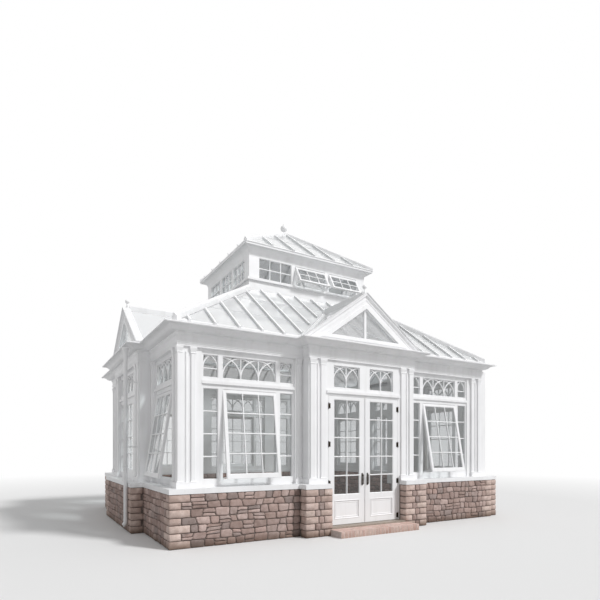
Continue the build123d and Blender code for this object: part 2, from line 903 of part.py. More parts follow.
# Lantern
with BuildPart() as lantern_curb:
    for wall in lantern_walls.values():
        with BuildSketch(plan_plane(wall, curb_bottom)):
            Polygon(*course_outline(wall, 0, curb_thickness, hairline), align=None)
        extrude(amount=lantern_sill_top - lantern_sill_height - curb_bottom)
        with BuildSketch(plan_plane(wall, lantern_sill_top - lantern_sill_height)):
            Polygon(*course_outline(wall, lantern_sill_proud, curb_thickness, hairline), align=None)
        extrude(amount=lantern_sill_height)
finish_part(lantern_curb.part, "lantern_curb")


def lantern_lights(wall):
    """Low and high ends, along a lantern wall, of its three lights."""
    width = (2 * (wall.half_run - lantern_post) - 2 * lantern_mullion) / 3
    step = width + lantern_mullion
    return [(step * index - width / 2, step * index + width / 2) for index in (-1, 0, 1)]


with BuildPart() as lantern_frame:
    for wall in lantern_walls.values():
        with BuildSketch(plan_plane(wall, lantern_sill_top)):
            Polygon(*course_outline(wall, 0, lantern_wall_depth, hairline), align=None)
        extrude(amount=lantern_head - lantern_sill_top)
        with BuildSketch(face_plane(wall, 0)):
            for low_x, high_x in lantern_lights(wall):
                box_between(low_x, high_x, lantern_light_bottom, lantern_light_top)
        extrude(amount=-lantern_wall_depth, mode=Mode.SUBTRACT)
finish_part(lantern_frame.part, "lantern_frame")

def lantern_sash_plane(low_x, high_x, depth=0):
    """Plane of an open lantern sash's outer face, its origin on the hinge line."""
    outward = -inward_of(lantern_walls["front"])
    normal = outward * cos(radians(lantern_sash_angle)) + up * sin(radians(lantern_sash_angle))
    hinge = point_on(lantern_walls["front"], (low_x + high_x) / 2, 0, lantern_light_top)
    return Plane(origin=hinge - normal * depth, x_dir=lantern_walls["front"].along, z_dir=normal)


def lantern_sash_outline(low_x, high_x):
    """Low and high x and y of a lantern sash on its plane, clear of the head at its inner edge."""
    half = (high_x - low_x) / 2 - seat_gap
    drop = seat_gap + sash_depth * tan(radians(lantern_sash_angle))
    return -half, half, lantern_light_bottom - lantern_light_top, -drop


def lantern_sash_opening(low_x, high_x):
    """Low and high x and y of the glass in a lantern sash."""
    left, right, low, high = lantern_sash_outline(low_x, high_x)
    return left + lantern_stile, right - lantern_stile, low + lantern_stile, high - lantern_stile


open_lantern_lights = lantern_lights(lantern_walls["front"])[1:]
with BuildPart() as lantern_glass:
    for side, wall in lantern_walls.items():
        with BuildSketch(face_plane(wall, (lantern_wall_depth - pane_thickness) / 2)):
            for index, (low_x, high_x) in enumerate(lantern_lights(wall)):
                if side != "front" or index == 0:
                    box_between(low_x, high_x, lantern_light_bottom, lantern_light_top)
        extrude(amount=-pane_thickness)
    for low_x, high_x in open_lantern_lights:
        with BuildSketch(lantern_sash_plane(low_x, high_x, (sash_depth - sash_pane_thickness) / 2)):
            box_between(*lantern_sash_opening(low_x, high_x))
        extrude(amount=-sash_pane_thickness)
finish_part(lantern_glass.part, "lantern_glass")

with BuildPart() as lantern_sash:
    for low_x, high_x in open_lantern_lights:
        with BuildSketch(lantern_sash_plane(low_x, high_x)):
            box_between(*lantern_sash_outline(low_x, high_x))
            box_between(*lantern_sash_opening(low_x, high_x), mode=Mode.SUBTRACT)
        extrude(amount=-sash_depth)
finish_part(lantern_sash.part, "lantern_sash")

# Coved cornice of the lantern, cut through at its mitres
cove_top = cove_height + cove_fascia
with BuildPart() as lantern_cornice:
    with BuildLine(Plane.XY.offset(lantern_head)) as cove_path:
        cove_rectangle = Polyline(
            (-lantern_half_length, -lantern_half_depth),
            (lantern_half_length, -lantern_half_depth),
            (lantern_half_length, lantern_half_depth),
            (-lantern_half_length, lantern_half_depth),
            close=True,
        )
    cove_origin = Vector(-lantern_half_length, -lantern_half_depth, lantern_head)
    with BuildSketch(Plane(origin=cove_origin, x_dir=(0, -1, 0), z_dir=(-1, 0, 0))):
        with BuildLine():
            Line((-lantern_wall_depth, 0), (0, 0))
            ThreePointArc(
                (0, 0),
                (cove_hollow, cove_hollow_height),
                (cove_projection, cove_height),
            )
            Polyline(
                (cove_projection, cove_height),
                (cove_projection, cove_top),
                (-lantern_wall_depth, cove_top),
                (-lantern_wall_depth, 0),
            )
        make_face()
    sweep(path=cove_path.line, transition=Transition.RIGHT)
    diagonal = 2 * cove_projection + 2 * lantern_wall_depth
    for x_sign in (-1, 1):
        for y_sign in (-1, 1):
            corner = (x_sign * lantern_half_length, y_sign * lantern_half_depth)
            with BuildSketch(Plane.XY.offset(lantern_head)):
                with Locations(corner):
                    Rectangle(2 * diagonal, hairline, rotation=45 * x_sign * y_sign)
            extrude(amount=cove_top, mode=Mode.SUBTRACT)
finish_part(lantern_cornice.part, "lantern_cornice")

# Pyramid roof of the lantern
lantern_slopes = []
for side, wall in lantern_walls.items():
    half_eave = wall.half_run + cove_projection
    run = (lantern_half_depth if side in ("front", "back") else lantern_half_length) + cove_projection
    lantern_slopes.append(Slope(wall, run, lantern_apex_height, half_eave, 0))

with BuildPart() as lantern_roof_glass:
    for slope in lantern_slopes:
        edge = hip_shift(slope, lantern_hip_width)
        reach = 1 - (finial_cap_radius + pane_thickness) / slope.run
        with BuildSketch(slope_plane(slope, lantern_eave_level, cove_projection)):
            half_top = slope.half_eave * (1 - reach) - edge
            high = slope_length(slope) * reach
            outline = [(-slope.half_eave + edge, 0), (slope.half_eave - edge, 0)]
            outline += [(half_top, high), (-half_top, high)]
            Polygon(*outline, align=None)
        extrude(amount=pane_thickness)
finish_part(lantern_roof_glass.part, "lantern_roof_glass")

# Bars on the lantern's glass and its four hips
apex_level = lantern_eave_level + lantern_apex_height
with BuildPart() as lantern_roof_bars:
    for slope in lantern_slopes:
        edge = hip_shift(slope, lantern_hip_width)
        lifted = slope_plane(slope, lantern_eave_level, cove_projection, pane_thickness)
        count = int(slope.half_eave / lantern_bar_spacing)
        for index in range(-count, count + 1):
            place = index * lantern_bar_spacing
            reach = (slope.half_eave - abs(place) - rafter_width / 2 - edge) / slope.half_eave
            reach = min(reach, 1 - (finial_cap_radius + 2 * pane_thickness) / slope.run)
            high = slope_length(slope) * reach
            if high > shortest_rafter:
                with BuildSketch(lifted):
                    box_between(place - rafter_width / 2, place + rafter_width / 2, 0, high)
                extrude(amount=rafter_height)
    for x_sign in (-1, 1):
        for y_sign in (-1, 1):
            foot_x = x_sign * (lantern_half_length + cove_projection)
            foot_y = y_sign * (lantern_half_depth + cove_projection)
            foot = Vector(foot_x, foot_y, lantern_eave_level)
            apex = Vector(0, 0, apex_level)
            share = 1 - finial_cap_radius / hypot(foot_x, foot_y)
            slanted_bar(foot, foot + (apex - foot) * share, lantern_hip_width, lantern_hip_height)
finish_part(lantern_roof_bars.part, "lantern_roof_bars")

# Acorn finial on its cap
with BuildPart() as lantern_finial:
    cap_bottom = apex_level - finial_cap_height / 2
    cap_top = apex_level + finial_cap_height / 2
    neck_top = cap_top + finial_neck_height
    belly = cap_top + finial_belly_height
    tip = cap_top + finial_height
    with BuildSketch(Plane.XZ):
        with BuildLine():
            Polyline((0, cap_bottom), (finial_cap_radius, cap_bottom), (finial_cap_radius, apex_level))
            Line((finial_cap_radius, apex_level), (finial_neck, cap_top))
            Line((finial_neck, cap_top), (finial_neck, neck_top))
            shoulder = (finial_shoulder, cap_top + finial_shoulder_height)
            ThreePointArc((finial_neck, neck_top), (finial_radius, belly), shoulder)
            Line(shoulder, (0, tip))
            Line((0, tip), (0, cap_bottom))
        make_face()
    revolve(axis=Axis.Z)
finish_part(lantern_finial.part, "lantern_finial")


# Door frame with its transom lights
with BuildPart() as door_frame:
    with BuildSketch(face_plane(front, door_face)):
        box_between(-doorway_half_width, doorway_half_width, floor_level, beam_bottom)
        box_between(-door_half_width, door_half_width, floor_level, door_head, mode=Mode.SUBTRACT)
        for hand in (-1, 1):
            span = sorted((hand * door_light_inner, hand * door_light_outer))
            box_between(*span, door_transom_bottom, transom_light_top, mode=Mode.SUBTRACT)
    extrude(amount=-door_frame_depth)
    with BuildSketch(face_plane(front, door_face)):
        drip_top = door_transom_bottom - drip_drop
        box_between(-doorway_half_width, doorway_half_width, drip_top - drip_height, drip_top)
    extrude(amount=drip_proud)
finish_part(door_frame.part, "door_frame")


# Pair of glazed doors, hung at their outer edges and opening outwards
door_bottom = floor_level + door_bottom_gap
door_top = door_head - door_head_gap
door_glass_top = door_top - door_top_rail
pivot_inset = door_face - hinge_radius - seat_gap

for hand, hand_name in ((-1, "left"), (1, "right")):
    leaf_span = sorted((hand * door_meeting_gap / 2, hand * (door_half_width - door_edge_gap)))
    glass_span = sorted((hand * door_light_inner, hand * door_light_outer))
    panel_span = (glass_span[0] + door_panel_border / 2, glass_span[1] - door_panel_border / 2)
    with BuildPart() as door_leaf:
        with BuildSketch(face_plane(front, door_face)):
            box_between(*leaf_span, door_bottom, door_top)
            box_between(*glass_span, door_glass_bottom, door_glass_top, mode=Mode.SUBTRACT)
        extrude(amount=-door_thickness)
        for depth in (door_face, door_face + door_thickness - door_panel_recess):
            with BuildSketch(face_plane(front, depth)):
                panel_low = door_bottom + 2 * door_panel_border
                box_between(*panel_span, panel_low, door_glass_bottom - 2 * door_panel_border)
            extrude(amount=-door_panel_recess, mode=Mode.SUBTRACT)
    finish_part(door_leaf.part, "door_leaf_" + hand_name)

    with BuildPart() as door_glass:
        with BuildSketch(face_plane(front, door_face + (door_thickness - pane_thickness) / 2)):
            box_between(*glass_span, door_glass_bottom, door_glass_top)
        extrude(amount=-pane_thickness)
    finish_part(door_glass.part, "door_glass_" + hand_name)

    with BuildPart() as door_handle:
        handle_x = hand * (door_meeting_gap + door_stile) / 2
        with BuildSketch(face_plane(front, door_face)):
            with Locations((handle_x, handle_level)):
                Rectangle(handle_plate_width, handle_plate_height)
        extrude(amount=handle_plate_thickness)
        bar_end = handle_length / 2
        for level in (handle_level - bar_end + handle_radius, handle_level + bar_end - handle_radius):
            with BuildSketch(face_plane(front, door_face)):
                with Locations((handle_x, level)):
                    Circle(handle_radius)
            extrude(amount=handle_standoff)
        bar_foot = point_on(front, handle_x, door_face - handle_standoff, handle_level - bar_end)
        with BuildSketch(Plane(origin=bar_foot, x_dir=front.along, z_dir=up)):
            Circle(handle_radius)
        extrude(amount=handle_length)
    finish_part(door_handle.part, "door_handle_" + hand_name)

    with BuildPart() as door_hinges:
        for level in hinge_levels:
            barrel = point_on(front, hand * door_half_width, pivot_inset, level - hinge_height / 2)
            with BuildSketch(Plane(origin=barrel, x_dir=front.along, z_dir=up)):
                Circle(hinge_radius)
            extrude(amount=hinge_height)
            flap_span = sorted((hand * (door_half_width - hinge_flap_width), hand * door_half_width))
            with BuildSketch(face_plane(front, door_face)):
                box_between(*flap_span, level - hinge_height / 2, level + hinge_height / 2)
            extrude(amount=hinge_flap_thickness)
    finish_part(door_hinges.part, "door_hinges_" + hand_name)


# Downpipe down the front corner of the left bay, clear of the cornice's ogee
with BuildPart() as downpipe:
    wall = walls["left"]
    stand_off = -wall.bay - sill_proud - seat_gap - pipe_radius
    pipe_x = bay_half_width - pipe_inset
    foot = point_on(wall, pipe_x, stand_off, pipe_bottom)
    with BuildSketch(Plane(origin=foot, x_dir=wall.along, z_dir=up)):
        Circle(pipe_radius)
    extrude(amount=cornice_top - cornice_lip_depth - pipe_top_gap - pipe_bottom)
finish_part(downpipe.part, "downpipe")
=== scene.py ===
import math
import random
from collections import namedtuple
from itertools import product

import bmesh
import bpy
from mathutils import Matrix, Vector


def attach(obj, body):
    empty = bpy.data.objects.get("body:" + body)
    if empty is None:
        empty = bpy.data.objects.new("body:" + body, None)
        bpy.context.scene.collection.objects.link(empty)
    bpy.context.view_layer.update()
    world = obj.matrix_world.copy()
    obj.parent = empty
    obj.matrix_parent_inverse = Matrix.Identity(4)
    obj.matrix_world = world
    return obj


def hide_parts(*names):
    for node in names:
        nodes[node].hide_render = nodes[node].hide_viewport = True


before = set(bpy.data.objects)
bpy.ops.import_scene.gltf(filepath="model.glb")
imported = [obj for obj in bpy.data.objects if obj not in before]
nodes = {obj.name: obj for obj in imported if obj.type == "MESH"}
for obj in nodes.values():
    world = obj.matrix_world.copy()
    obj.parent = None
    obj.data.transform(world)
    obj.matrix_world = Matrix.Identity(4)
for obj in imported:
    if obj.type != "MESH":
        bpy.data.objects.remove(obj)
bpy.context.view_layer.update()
UP = Vector((0, 0, 1))

# Sizes in metres, as in the part's source
HALF_FRONT = 3.5
HALF_SIDE = 3.0
BAY_PROJECTION = 0.22
BAY_HALF_WIDTH = 1.24
DOORWAY_HALF_WIDTH = 0.863
POST_WIDTH = 0.41
NARROW_WIDTH = 0.15
BROAD_WIDTH = 0.377
CORNER_WIDTH = 0.30
CORNER_SHAFT = 0.08
BROAD_SHAFT = 0.11
BROAD_MARGIN = 0.024
NARROW_MARGIN = 0.035
STONE_PROUD = 0.15
FLOOR_LEVEL = 0.14
PLINTH_TOP = 1.0
CAPITAL_BOTTOM = 3.04
STEP_HEIGHT = 0.11
STEP_DEPTH = 0.32
STEP_HALF_WIDTH = 0.9
BEAM_BOTTOM = 3.12
BEAM_TOP = 3.32
CORNICE_TOP = 3.44
FRAME_RECESS = 0.06
FRAME_DEPTH = 0.09
FRAME_JAMB = 0.03
SINGLE_JAMB = 0.11
MULLION = 0.08
NARROW_LIGHT = 0.25
SASH_STILE = 0.05
SASH_BOTTOM_RAIL = 0.07
SASH_DEPTH = 0.04
LIGHT_BOTTOM = 1.03
LIGHT_TOP = 2.5
TRANSOM_BOTTOM = 2.68
TRANSOM_TOP = 3.04
PANE = 0.02
SASH_PANE = 0.012
BAR_FOOT = 0.012
ARCH_GAP = 0.013
DOOR_FACE = 0.03 - BAY_PROJECTION
DOOR_THICKNESS = 0.045
DOOR_FRAME_DEPTH = 0.1
DOOR_LIGHT_INNER = 0.119
DOOR_LIGHT_OUTER = 0.7
DOOR_GLASS_BOTTOM = 0.69
DOOR_GLASS_TOP = 2.425
DOOR_TRANSOM_BOTTOM = 2.64
LANTERN_HALF_LENGTH = 1.5
LANTERN_HALF_DEPTH = 1.25
LANTERN_POST = 0.235
LANTERN_MULLION = 0.1
LANTERN_STILE = 0.036
LANTERN_LIGHT_BOTTOM = 5.12
LANTERN_LIGHT_TOP = 5.54
LANTERN_LIGHT_HEIGHT = LANTERN_LIGHT_TOP - LANTERN_LIGHT_BOTTOM
LANTERN_WALL = 0.08
LANTERN_SASH_ANGLE = 30
EAVE_PROUD = 0.06
PLATE_TOP = 3.48
CURB_TOP = 4.83
HIP_HEIGHT = 0.075
GABLE_TOP = 4.44
GABLE_HALF_WIDTH = 1.344
GABLE_RIDGE = 4.38
GABLE_EAVE = 1.26
GABLE_FACE = -0.23
GABLE_BACK = -0.14
GABLE_SILL_TOP = 3.585
RAKE_WIDTH = 0.235
RAKE_BEAD = 0.06
KING_BAR = 0.036
RIDGE_HEIGHT = 0.09
COVE_PROJECTION = 0.15
LANTERN_EAVE = 5.76
LANTERN_APEX = 6.8
LANTERN_HIP_HEIGHT = 0.05
FINIAL_CAP_RADIUS = 0.075
BOARD_RECESS = 0.028
HANDLE_X = 0.0615
HANDLE_LEVEL = 0.96
HINGE_X = 0.82
HINGE_LEVELS = (0.23, 0.906, 1.61, 2.3)
HINGE_HEIGHT = 0.09
HINGE_RADIUS = 0.008
PANEL_BOTTOM = 0.268
PANEL_TOP = 0.57
PIPE_RADIUS = 0.035
PIPE_X = -3.9253
PIPE_Y = -1.15
PIPE_BOTTOM = 0.2
PIPE_TOP = 3.376

Wall = namedtuple("Wall", "middle along half_run bay")


def four_walls(half_x, half_y, bay=0):
    """Walls round a rectangle, each with the way along it to the right as seen from outside."""
    found = {}
    for side, x, y in (("front", 0, -1), ("left", -1, 0), ("right", 1, 0), ("back", 0, 1)):
        middle, along = Vector((x * half_x, y * half_y, 0)), Vector((-y, x, 0))
        found[side] = Wall(middle, along, half_x if y else half_y, 0 if side == "back" else bay)
    return found


WALLS = four_walls(HALF_FRONT, HALF_SIDE, BAY_PROJECTION)
LANTERN_WALLS = four_walls(LANTERN_HALF_LENGTH, LANTERN_HALF_DEPTH)
FRONT = WALLS["front"]
HANDS = ((-1, "left"), (1, "right"))


def in_mm(*numbers):
    """Points in metres from pairs of numbers in millimetres."""
    return [(first / 1000, second / 1000) for first, second in zip(numbers[::2], numbers[1::2])]


# Materials
WHITE = (1, 1, 1)


def srgb(red, green, blue):
    """Colour written as it looks, turned into the linear values that a shader takes."""
    def linear(value):
        return value / 12.92 if value <= 0.04045 else ((value + 0.055) / 1.055) ** 2.4

    return (linear(red), linear(green), linear(blue), 1)


def new_material(name, roughness):
    """Material with its node tree and its Principled shader."""
    material = bpy.data.materials.new(name)
    material.use_nodes = True
    tree = material.node_tree
    shader = tree.nodes["Principled BSDF"]
    shader.inputs["Roughness"].default_value = roughness
    return material, tree, shader


def feed(tree, socket, value):
    """Link a socket to another, or give it a fixed value."""
    if isinstance(value, bpy.types.NodeSocket):
        tree.links.new(value, socket)
    else:
        socket.default_value = value


def add_node(tree, kind, inputs=None, output=0, **settings):
    """One output of a new shader node, which gets its settings and then its inputs."""
    made = tree.nodes.new("ShaderNode" + kind)
    for name, value in settings.items():
        setattr(made, name, value)
    for key, value in (inputs or {}).items():
        feed(tree, made.inputs[key], value)
    return made.outputs[output]


def noise(tree, scale, detail=4, stretch=(1, 1, 1)):
    """Noise over the object's own metres, stretched along its axes."""
    place = add_node(tree, "TexCoord", output="Object")
    place = add_node(tree, "Mapping", {"Vector": place, "Scale": stretch})
    return add_node(tree, "TexNoise", {"Vector": place, "Scale": scale, "Detail": detail}, "Fac")


def ramp(tree, factor, *stops):
    """Colour ramp through stops of (place, colour), the colours written as they look."""
    made = tree.nodes.new("ShaderNodeValToRGB")
    elements = made.color_ramp.elements
    while len(elements) < len(stops):
        elements.new(0.5)
    for element, (place, colour) in zip(elements, stops):
        element.position, element.color = place, srgb(*colour)
    tree.links.new(factor, made.inputs["Fac"])
    return made.outputs["Color"]


def blend_colours(tree, factor, first, second, mode="MIX"):
    """Mix of two colours, each a socket or a fixed colour, by a factor."""
    inputs = {"Factor": factor, 6: first, 7: second}
    return add_node(tree, "Mix", inputs, 2, data_type="RGBA", blend_type=mode)


def dress(tree, shader, colour, height, strength, distance):
    """Give a shader its colour, fixed or from a socket, and a bump from a height socket."""
    feed(tree, shader.inputs["Base Color"], colour)
    inputs = {"Strength": strength, "Distance": distance, "Height": height}
    tree.links.new(add_node(tree, "Bump", inputs, "Normal"), shader.inputs["Normal"])


def map_range(tree, value, low, high, at_low=0, at_high=1):
    """Value mapped from a range to another, and held at its ends."""
    inputs = {"Value": value, "From Min": low, "From Max": high, "To Min": at_low, "To Max": at_high}
    return add_node(tree, "MapRange", inputs, "Result")


def any_ray(tree, *kinds):
    """1 on rays of any of these kinds, and else 0."""
    path = tree.nodes.new("ShaderNodeLightPath")
    found = path.outputs[kinds[0]]
    for kind in kinds[1:]:
        found = add_node(tree, "Math", {0: found, 1: path.outputs[kind]}, operation="MAXIMUM")
    return found


def mix_surface(tree, factor, first, second):
    """Give a material a mix of two shaders as its surface."""
    mixed = add_node(tree, "MixShader", {"Fac": factor, 1: first, 2: second})
    tree.links.new(mixed, tree.nodes["Material Output"].inputs["Surface"])


def white_paint(name, clean, worn, roughness):
    """Brushed gloss paint on timber, a little greyer in patches and streaks."""
    material, tree, shader = new_material(name, roughness)
    base = ramp(tree, noise(tree, 1.3, 6), (0.35, worn), (0.62, clean))
    streaks = ramp(tree, noise(tree, 9, 5, (1, 1, 0.12)), (0.32, (0.955, 0.955, 0.95)), (0.5, WHITE))
    colour = blend_colours(tree, 0.5, base, streaks, "MULTIPLY")
    dress(tree, shader, colour, noise(tree, 160, 3, (1, 1, 0.15)), 0.12, 0.0006)
    return material


def glass(name, tint, roughness, clearness=1.0, painted_sheen_slope_clearness=None):
    """Thin grey glass that lets the lamps through to the inside; if asked, it is less clear on
    slopes, where the larger white diffuse share is a painted reflection of the sky.
    """
    material, tree, shader = new_material(name, roughness)
    shader.inputs["Transmission Weight"].default_value = clearness
    shader.inputs["IOR"].default_value = 1.45
    # Painted sky reflection: sloping faces are given less clearness than upright ones, so more of the
    # white diffuse base shows on them
    if painted_sheen_slope_clearness is not None:
        normal = add_node(tree, "NewGeometry", output="True Normal")
        level = add_node(tree, "SeparateXYZ", {"Vector": normal}, "Z")
        level = add_node(tree, "Math", {0: level}, operation="ABSOLUTE")
        clear_share = map_range(tree, level, 0.1, 0.4, clearness, painted_sheen_slope_clearness)
        tree.links.new(clear_share, shader.inputs["Transmission Weight"])
    dress(tree, shader, tint, noise(tree, 2.2, 2), 0.15, 0.004)
    clear = add_node(tree, "BsdfTransparent", {"Color": (0.93, 0.95, 0.95, 1)})
    passing = any_ray(tree, "Is Shadow Ray", "Is Diffuse Ray")
    mix_surface(tree, passing, shader.outputs["BSDF"], clear)
    return material


def stone_material(name, tones, roughness=0.9, foot=(0.66, 0.62, 0.57)):
    """Split stone, each block in its own tone, with fine grain and darker towards its foot."""
    material, tree, shader = new_material(name, roughness)
    stops = [(index / (len(tones) - 1), tone) for index, tone in enumerate(tones)]
    colour = ramp(tree, add_node(tree, "NewGeometry", output="Random Per Island"), *stops)
    place = add_node(tree, "TexCoord", output="Object")
    height = add_node(tree, "SeparateXYZ", {"Vector": place}, "Z")
    for share, factor, low, high, dark in (
        (0.75, noise(tree, 14, 6), 0.3, 0.7, (0.82, 0.79, 0.77)),
        (0.6, noise(tree, 120, 4), 0.35, 0.6, (0.84, 0.83, 0.82)),
        (1, height, 0, 0.16, foot),
    ):
        veil = ramp(tree, factor, (low, dark), (high, WHITE))
        colour = blend_colours(tree, share, colour, veil, "MULTIPLY")
    dress(tree, shader, colour, noise(tree, 45, 8), 0.6, 0.006)
    return material


def two_tone(name, roughness, stops, texture, grain, strength, distance, metallic=0):
    """Surface that wanders between two colours, with a fine bump, both by noise."""
    material, tree, shader = new_material(name, roughness)
    shader.inputs["Metallic"].default_value = metallic
    colour = ramp(tree, noise(tree, *texture), *stops)
    dress(tree, shader, colour, noise(tree, *grain), strength, distance)
    return material


PAINT = white_paint("white_timber_paint", (0.95, 0.95, 0.955), (0.925, 0.925, 0.93), 0.42)
BAR_PAINT = white_paint("white_bar_paint", (0.955, 0.955, 0.96), (0.935, 0.935, 0.94), 0.4)
METAL_PAINT = white_paint("white_metal_paint", (0.945, 0.945, 0.95), (0.91, 0.91, 0.915), 0.3)
WINDOW_GLASS = glass("window_glass_grey", (0.73, 0.74, 0.745, 1), 0.02)
LANTERN_GLASS = glass("lantern_glass_grey", (0.60, 0.61, 0.62, 1), 0.02)
# Roof glass: its white diffuse share is partly obscured glass and partly a painted reflection of the
# bright sky
ROOF_GLASS = glass("roof_glass_pale", (0.92, 0.92, 0.93, 1), 0.06, 0.62)
# Gable glass: its sloping panes are less clear than its upright ones, as a painted reflection of the
# bright sky
GABLE_GLASS = glass("gable_glass_pale", (0.90, 0.90, 0.91, 1), 0.03, 0.86, 0.58)
RUBBLE_TONES = [(0.62, 0.54, 0.515), (0.76, 0.67, 0.64), (0.68, 0.595, 0.57)]
RUBBLE_TONES += [(0.83, 0.745, 0.72), (0.63, 0.575, 0.56), (0.78, 0.68, 0.65)]
QUOIN_TONES = [(0.87, 0.79, 0.76), (0.81, 0.725, 0.69), (0.91, 0.835, 0.80)]
BRICK_TONES = [(0.93, 0.81, 0.78), (0.96, 0.87, 0.84), (0.89, 0.76, 0.72)]
TILE_TONES = [(0.74, 0.71, 0.67), (0.70, 0.66, 0.62), (0.78, 0.75, 0.71)]
RUBBLE = stone_material("rubble_stone", RUBBLE_TONES)
QUOIN = stone_material("quoin_stone", QUOIN_TONES)
MORTAR_STOPS = ((0.35, (0.40, 0.36, 0.34)), (0.65, (0.52, 0.47, 0.445)))
MORTAR = two_tone("mortar", 0.95, MORTAR_STOPS, (9, 7), (108, 5), 0.5, 0.004)
STEP_STOPS = ((0.35, (0.80, 0.75, 0.72)), (0.65, (0.87, 0.82, 0.80)))
STEP_MORTAR = two_tone("step_mortar", 0.95, STEP_STOPS, (9, 7), (108, 5), 0.5, 0.003)
BRICK = stone_material("pink_brick", BRICK_TONES, foot=(0.86, 0.83, 0.80))
TILE = stone_material("floor_tile", TILE_TONES, 0.6)
BRONZE_STOPS = ((0.4, (0.16, 0.14, 0.13)), (0.75, (0.30, 0.26, 0.22)))
BRONZE = two_tone("dark_bronze", 0.38, BRONZE_STOPS, (60, 5), (300, 3), 0.15, 0.0004, 0.85)

# Materials of the CAD nodes by a part of their names, of which the last that fits counts; the
# others are painted timber
NODE_MATERIALS = {
    "glass": WINDOW_GLASS,
    "gable_glass": GABLE_GLASS,
    "lantern_glass": LANTERN_GLASS,
    "roof_glass": ROOF_GLASS,
    "stone_base": MORTAR,
    "door_step": STEP_MORTAR,
    "floor_slab": MORTAR,
    "door_threshold": TILE,
    "hinges": BRONZE,
    "handle": BRONZE,
    "downpipe": METAL_PAINT,
    "lantern_finial": METAL_PAINT,
}
for node_name, node in nodes.items():
    fitting = [found for part_of_name, found in NODE_MATERIALS.items() if part_of_name in node_name]
    node.data.materials.clear()
    node.data.materials.append(fitting[-1] if fitting else PAINT)


# Mesh building
def new_object(name, data):
    """Object of a mesh, lamp or camera, linked into the scene."""
    made = bpy.data.objects.new(name, data)
    bpy.context.scene.collection.objects.link(made)
    return made


class Shape:
    """Points and faces of one piece, gathered before its mesh is made."""

    def __init__(self):
        self.points = []
        self.faces = []

    def add(self, points, faces):
        start = len(self.points)
        self.points.extend(points)
        self.faces.extend([start + index for index in face] for face in faces)

    def make(self, name, material, body="building", smooth_angle=30):
        """Mesh object of the gathered faces, riding on a body."""
        mesh = bpy.data.meshes.new(name)
        mesh.from_pydata([tuple(point) for point in self.points], [], self.faces)
        work = bmesh.new()
        work.from_mesh(mesh)
        bmesh.ops.recalc_face_normals(work, faces=work.faces)
        for face in work.faces:
            face.smooth = True
        limit = math.radians(smooth_angle)
        for edge in work.edges:
            edge.smooth = len(edge.link_faces) == 2 and edge.calc_face_angle(0) < limit
        work.to_mesh(mesh)
        work.free()
        mesh.materials.append(material)
        piece = new_object(name, mesh)
        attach(piece, body)
        return piece


def plane_matrix(origin, across, upward):
    """Matrix with x across, y upward and z out of a plane."""
    matrix = Matrix((across, upward, across.cross(upward))).transposed().to_4x4()
    matrix.translation = origin
    return matrix


def wall_matrix(wall, along, depth, height):
    """Matrix at a point of a wall, depth behind its face: x along it, y up, z outwards."""
    place = wall.middle + wall.along * along - wall.along.cross(UP) * depth + UP * height
    return plane_matrix(place, wall.along, UP)


def swung_matrix(wall, along, depth, hinge_height, angle):
    """Matrix at the hinge line of a sash swung out by an angle, y up the sash."""
    hinge = wall_matrix(wall, along, depth, hinge_height)
    return hinge @ Matrix.Rotation(-math.radians(angle), 4, "X")


def skin(shape, rings, closed=False, tip=None):
    """Faces between rings of points: joined in a loop, or closed by caps, or at the end by a tip."""
    count = len(rings[0])
    points = [point for ring in rings for point in ring]
    faces = []
    for ring in range(len(rings) if closed else len(rings) - 1):
        low, high = ring * count, (ring + 1) % len(rings) * count
        for index in range(count):
            turn = (index + 1) % count
            faces.append((low + index, low + turn, high + turn, high + index))
    if not closed:
        last = len(points) - count
        if tip is None:
            faces.append(range(last, last + count))
        else:
            faces += [(last + step, last + (step + 1) % count, len(points)) for step in range(count)]
            points.append(tip)
        faces.append(range(count)[::-1])
    shape.add(points, faces)


def sweep(shape, matrix, path, profile, closed=False):
    """Profile of (across, out) points carried along a path in a plane, mitred at its bends."""
    count = len(path)
    rings = []
    for index, (x, y) in enumerate(path):
        here = Vector((x, y))
        ways = []
        if closed or index > 0:
            ways.append((here - Vector(path[index - 1])).normalized())
        if closed or index < count - 1:
            ways.append((Vector(path[(index + 1) % count]) - here).normalized())
        normals = [Vector((-way.y, way.x)) for way in ways]
        mitre = sum(normals, Vector((0, 0))).normalized()
        side = mitre / mitre.dot(normals[0])
        rings.append([matrix @ Vector((x + side.x * a, y + side.y * a, out)) for a, out in profile])
    skin(shape, rings, closed)


def block(shape, matrix, size, chamfer):
    """Block with chamfered edges, centred on a matrix."""
    octants = list(product((-1, 1), repeat=3))
    corners = {}
    points = []
    for octant in octants:
        for axis in range(3):
            place = [sign * (length / 2 - chamfer) for sign, length in zip(octant, size)]
            place[axis] = octant[axis] * size[axis] / 2
            corners[(*octant, axis)] = len(points)
            points.append(matrix @ Vector(place))
    faces = []
    for axis, (first, second) in enumerate(((1, 2), (0, 2), (0, 1))):

        def corner(sign, a, b, kind):
            octant = [a, b]
            octant.insert(axis, sign)
            return corners[(*octant, kind)]

        for sign in (-1, 1):
            faces.append([corner(sign, a, b, axis) for a, b in ((-1, -1), (1, -1), (1, 1), (-1, 1))])
        for a, b in product((-1, 1), repeat=2):
            ends = ((-1, first), (1, first), (1, second), (-1, second))
            faces.append([corner(sign, a, b, kind) for sign, kind in ends])
    faces += [[corners[(*octant, axis)] for axis in range(3)] for octant in octants]
    shape.add(points, faces)


def turned(shape, matrix, profile, sides=16):
    """Profile of (radius, height) turned about a matrix's z axis."""
    turns = [2 * math.pi * index / sides for index in range(sides)]
    spokes = [(math.cos(turn), math.sin(turn)) for turn in turns]
    rings = []
    for radius, height in profile:
        rings.append([matrix @ Vector((radius * x, radius * y, height)) for x, y in spokes])
    skin(shape, rings)


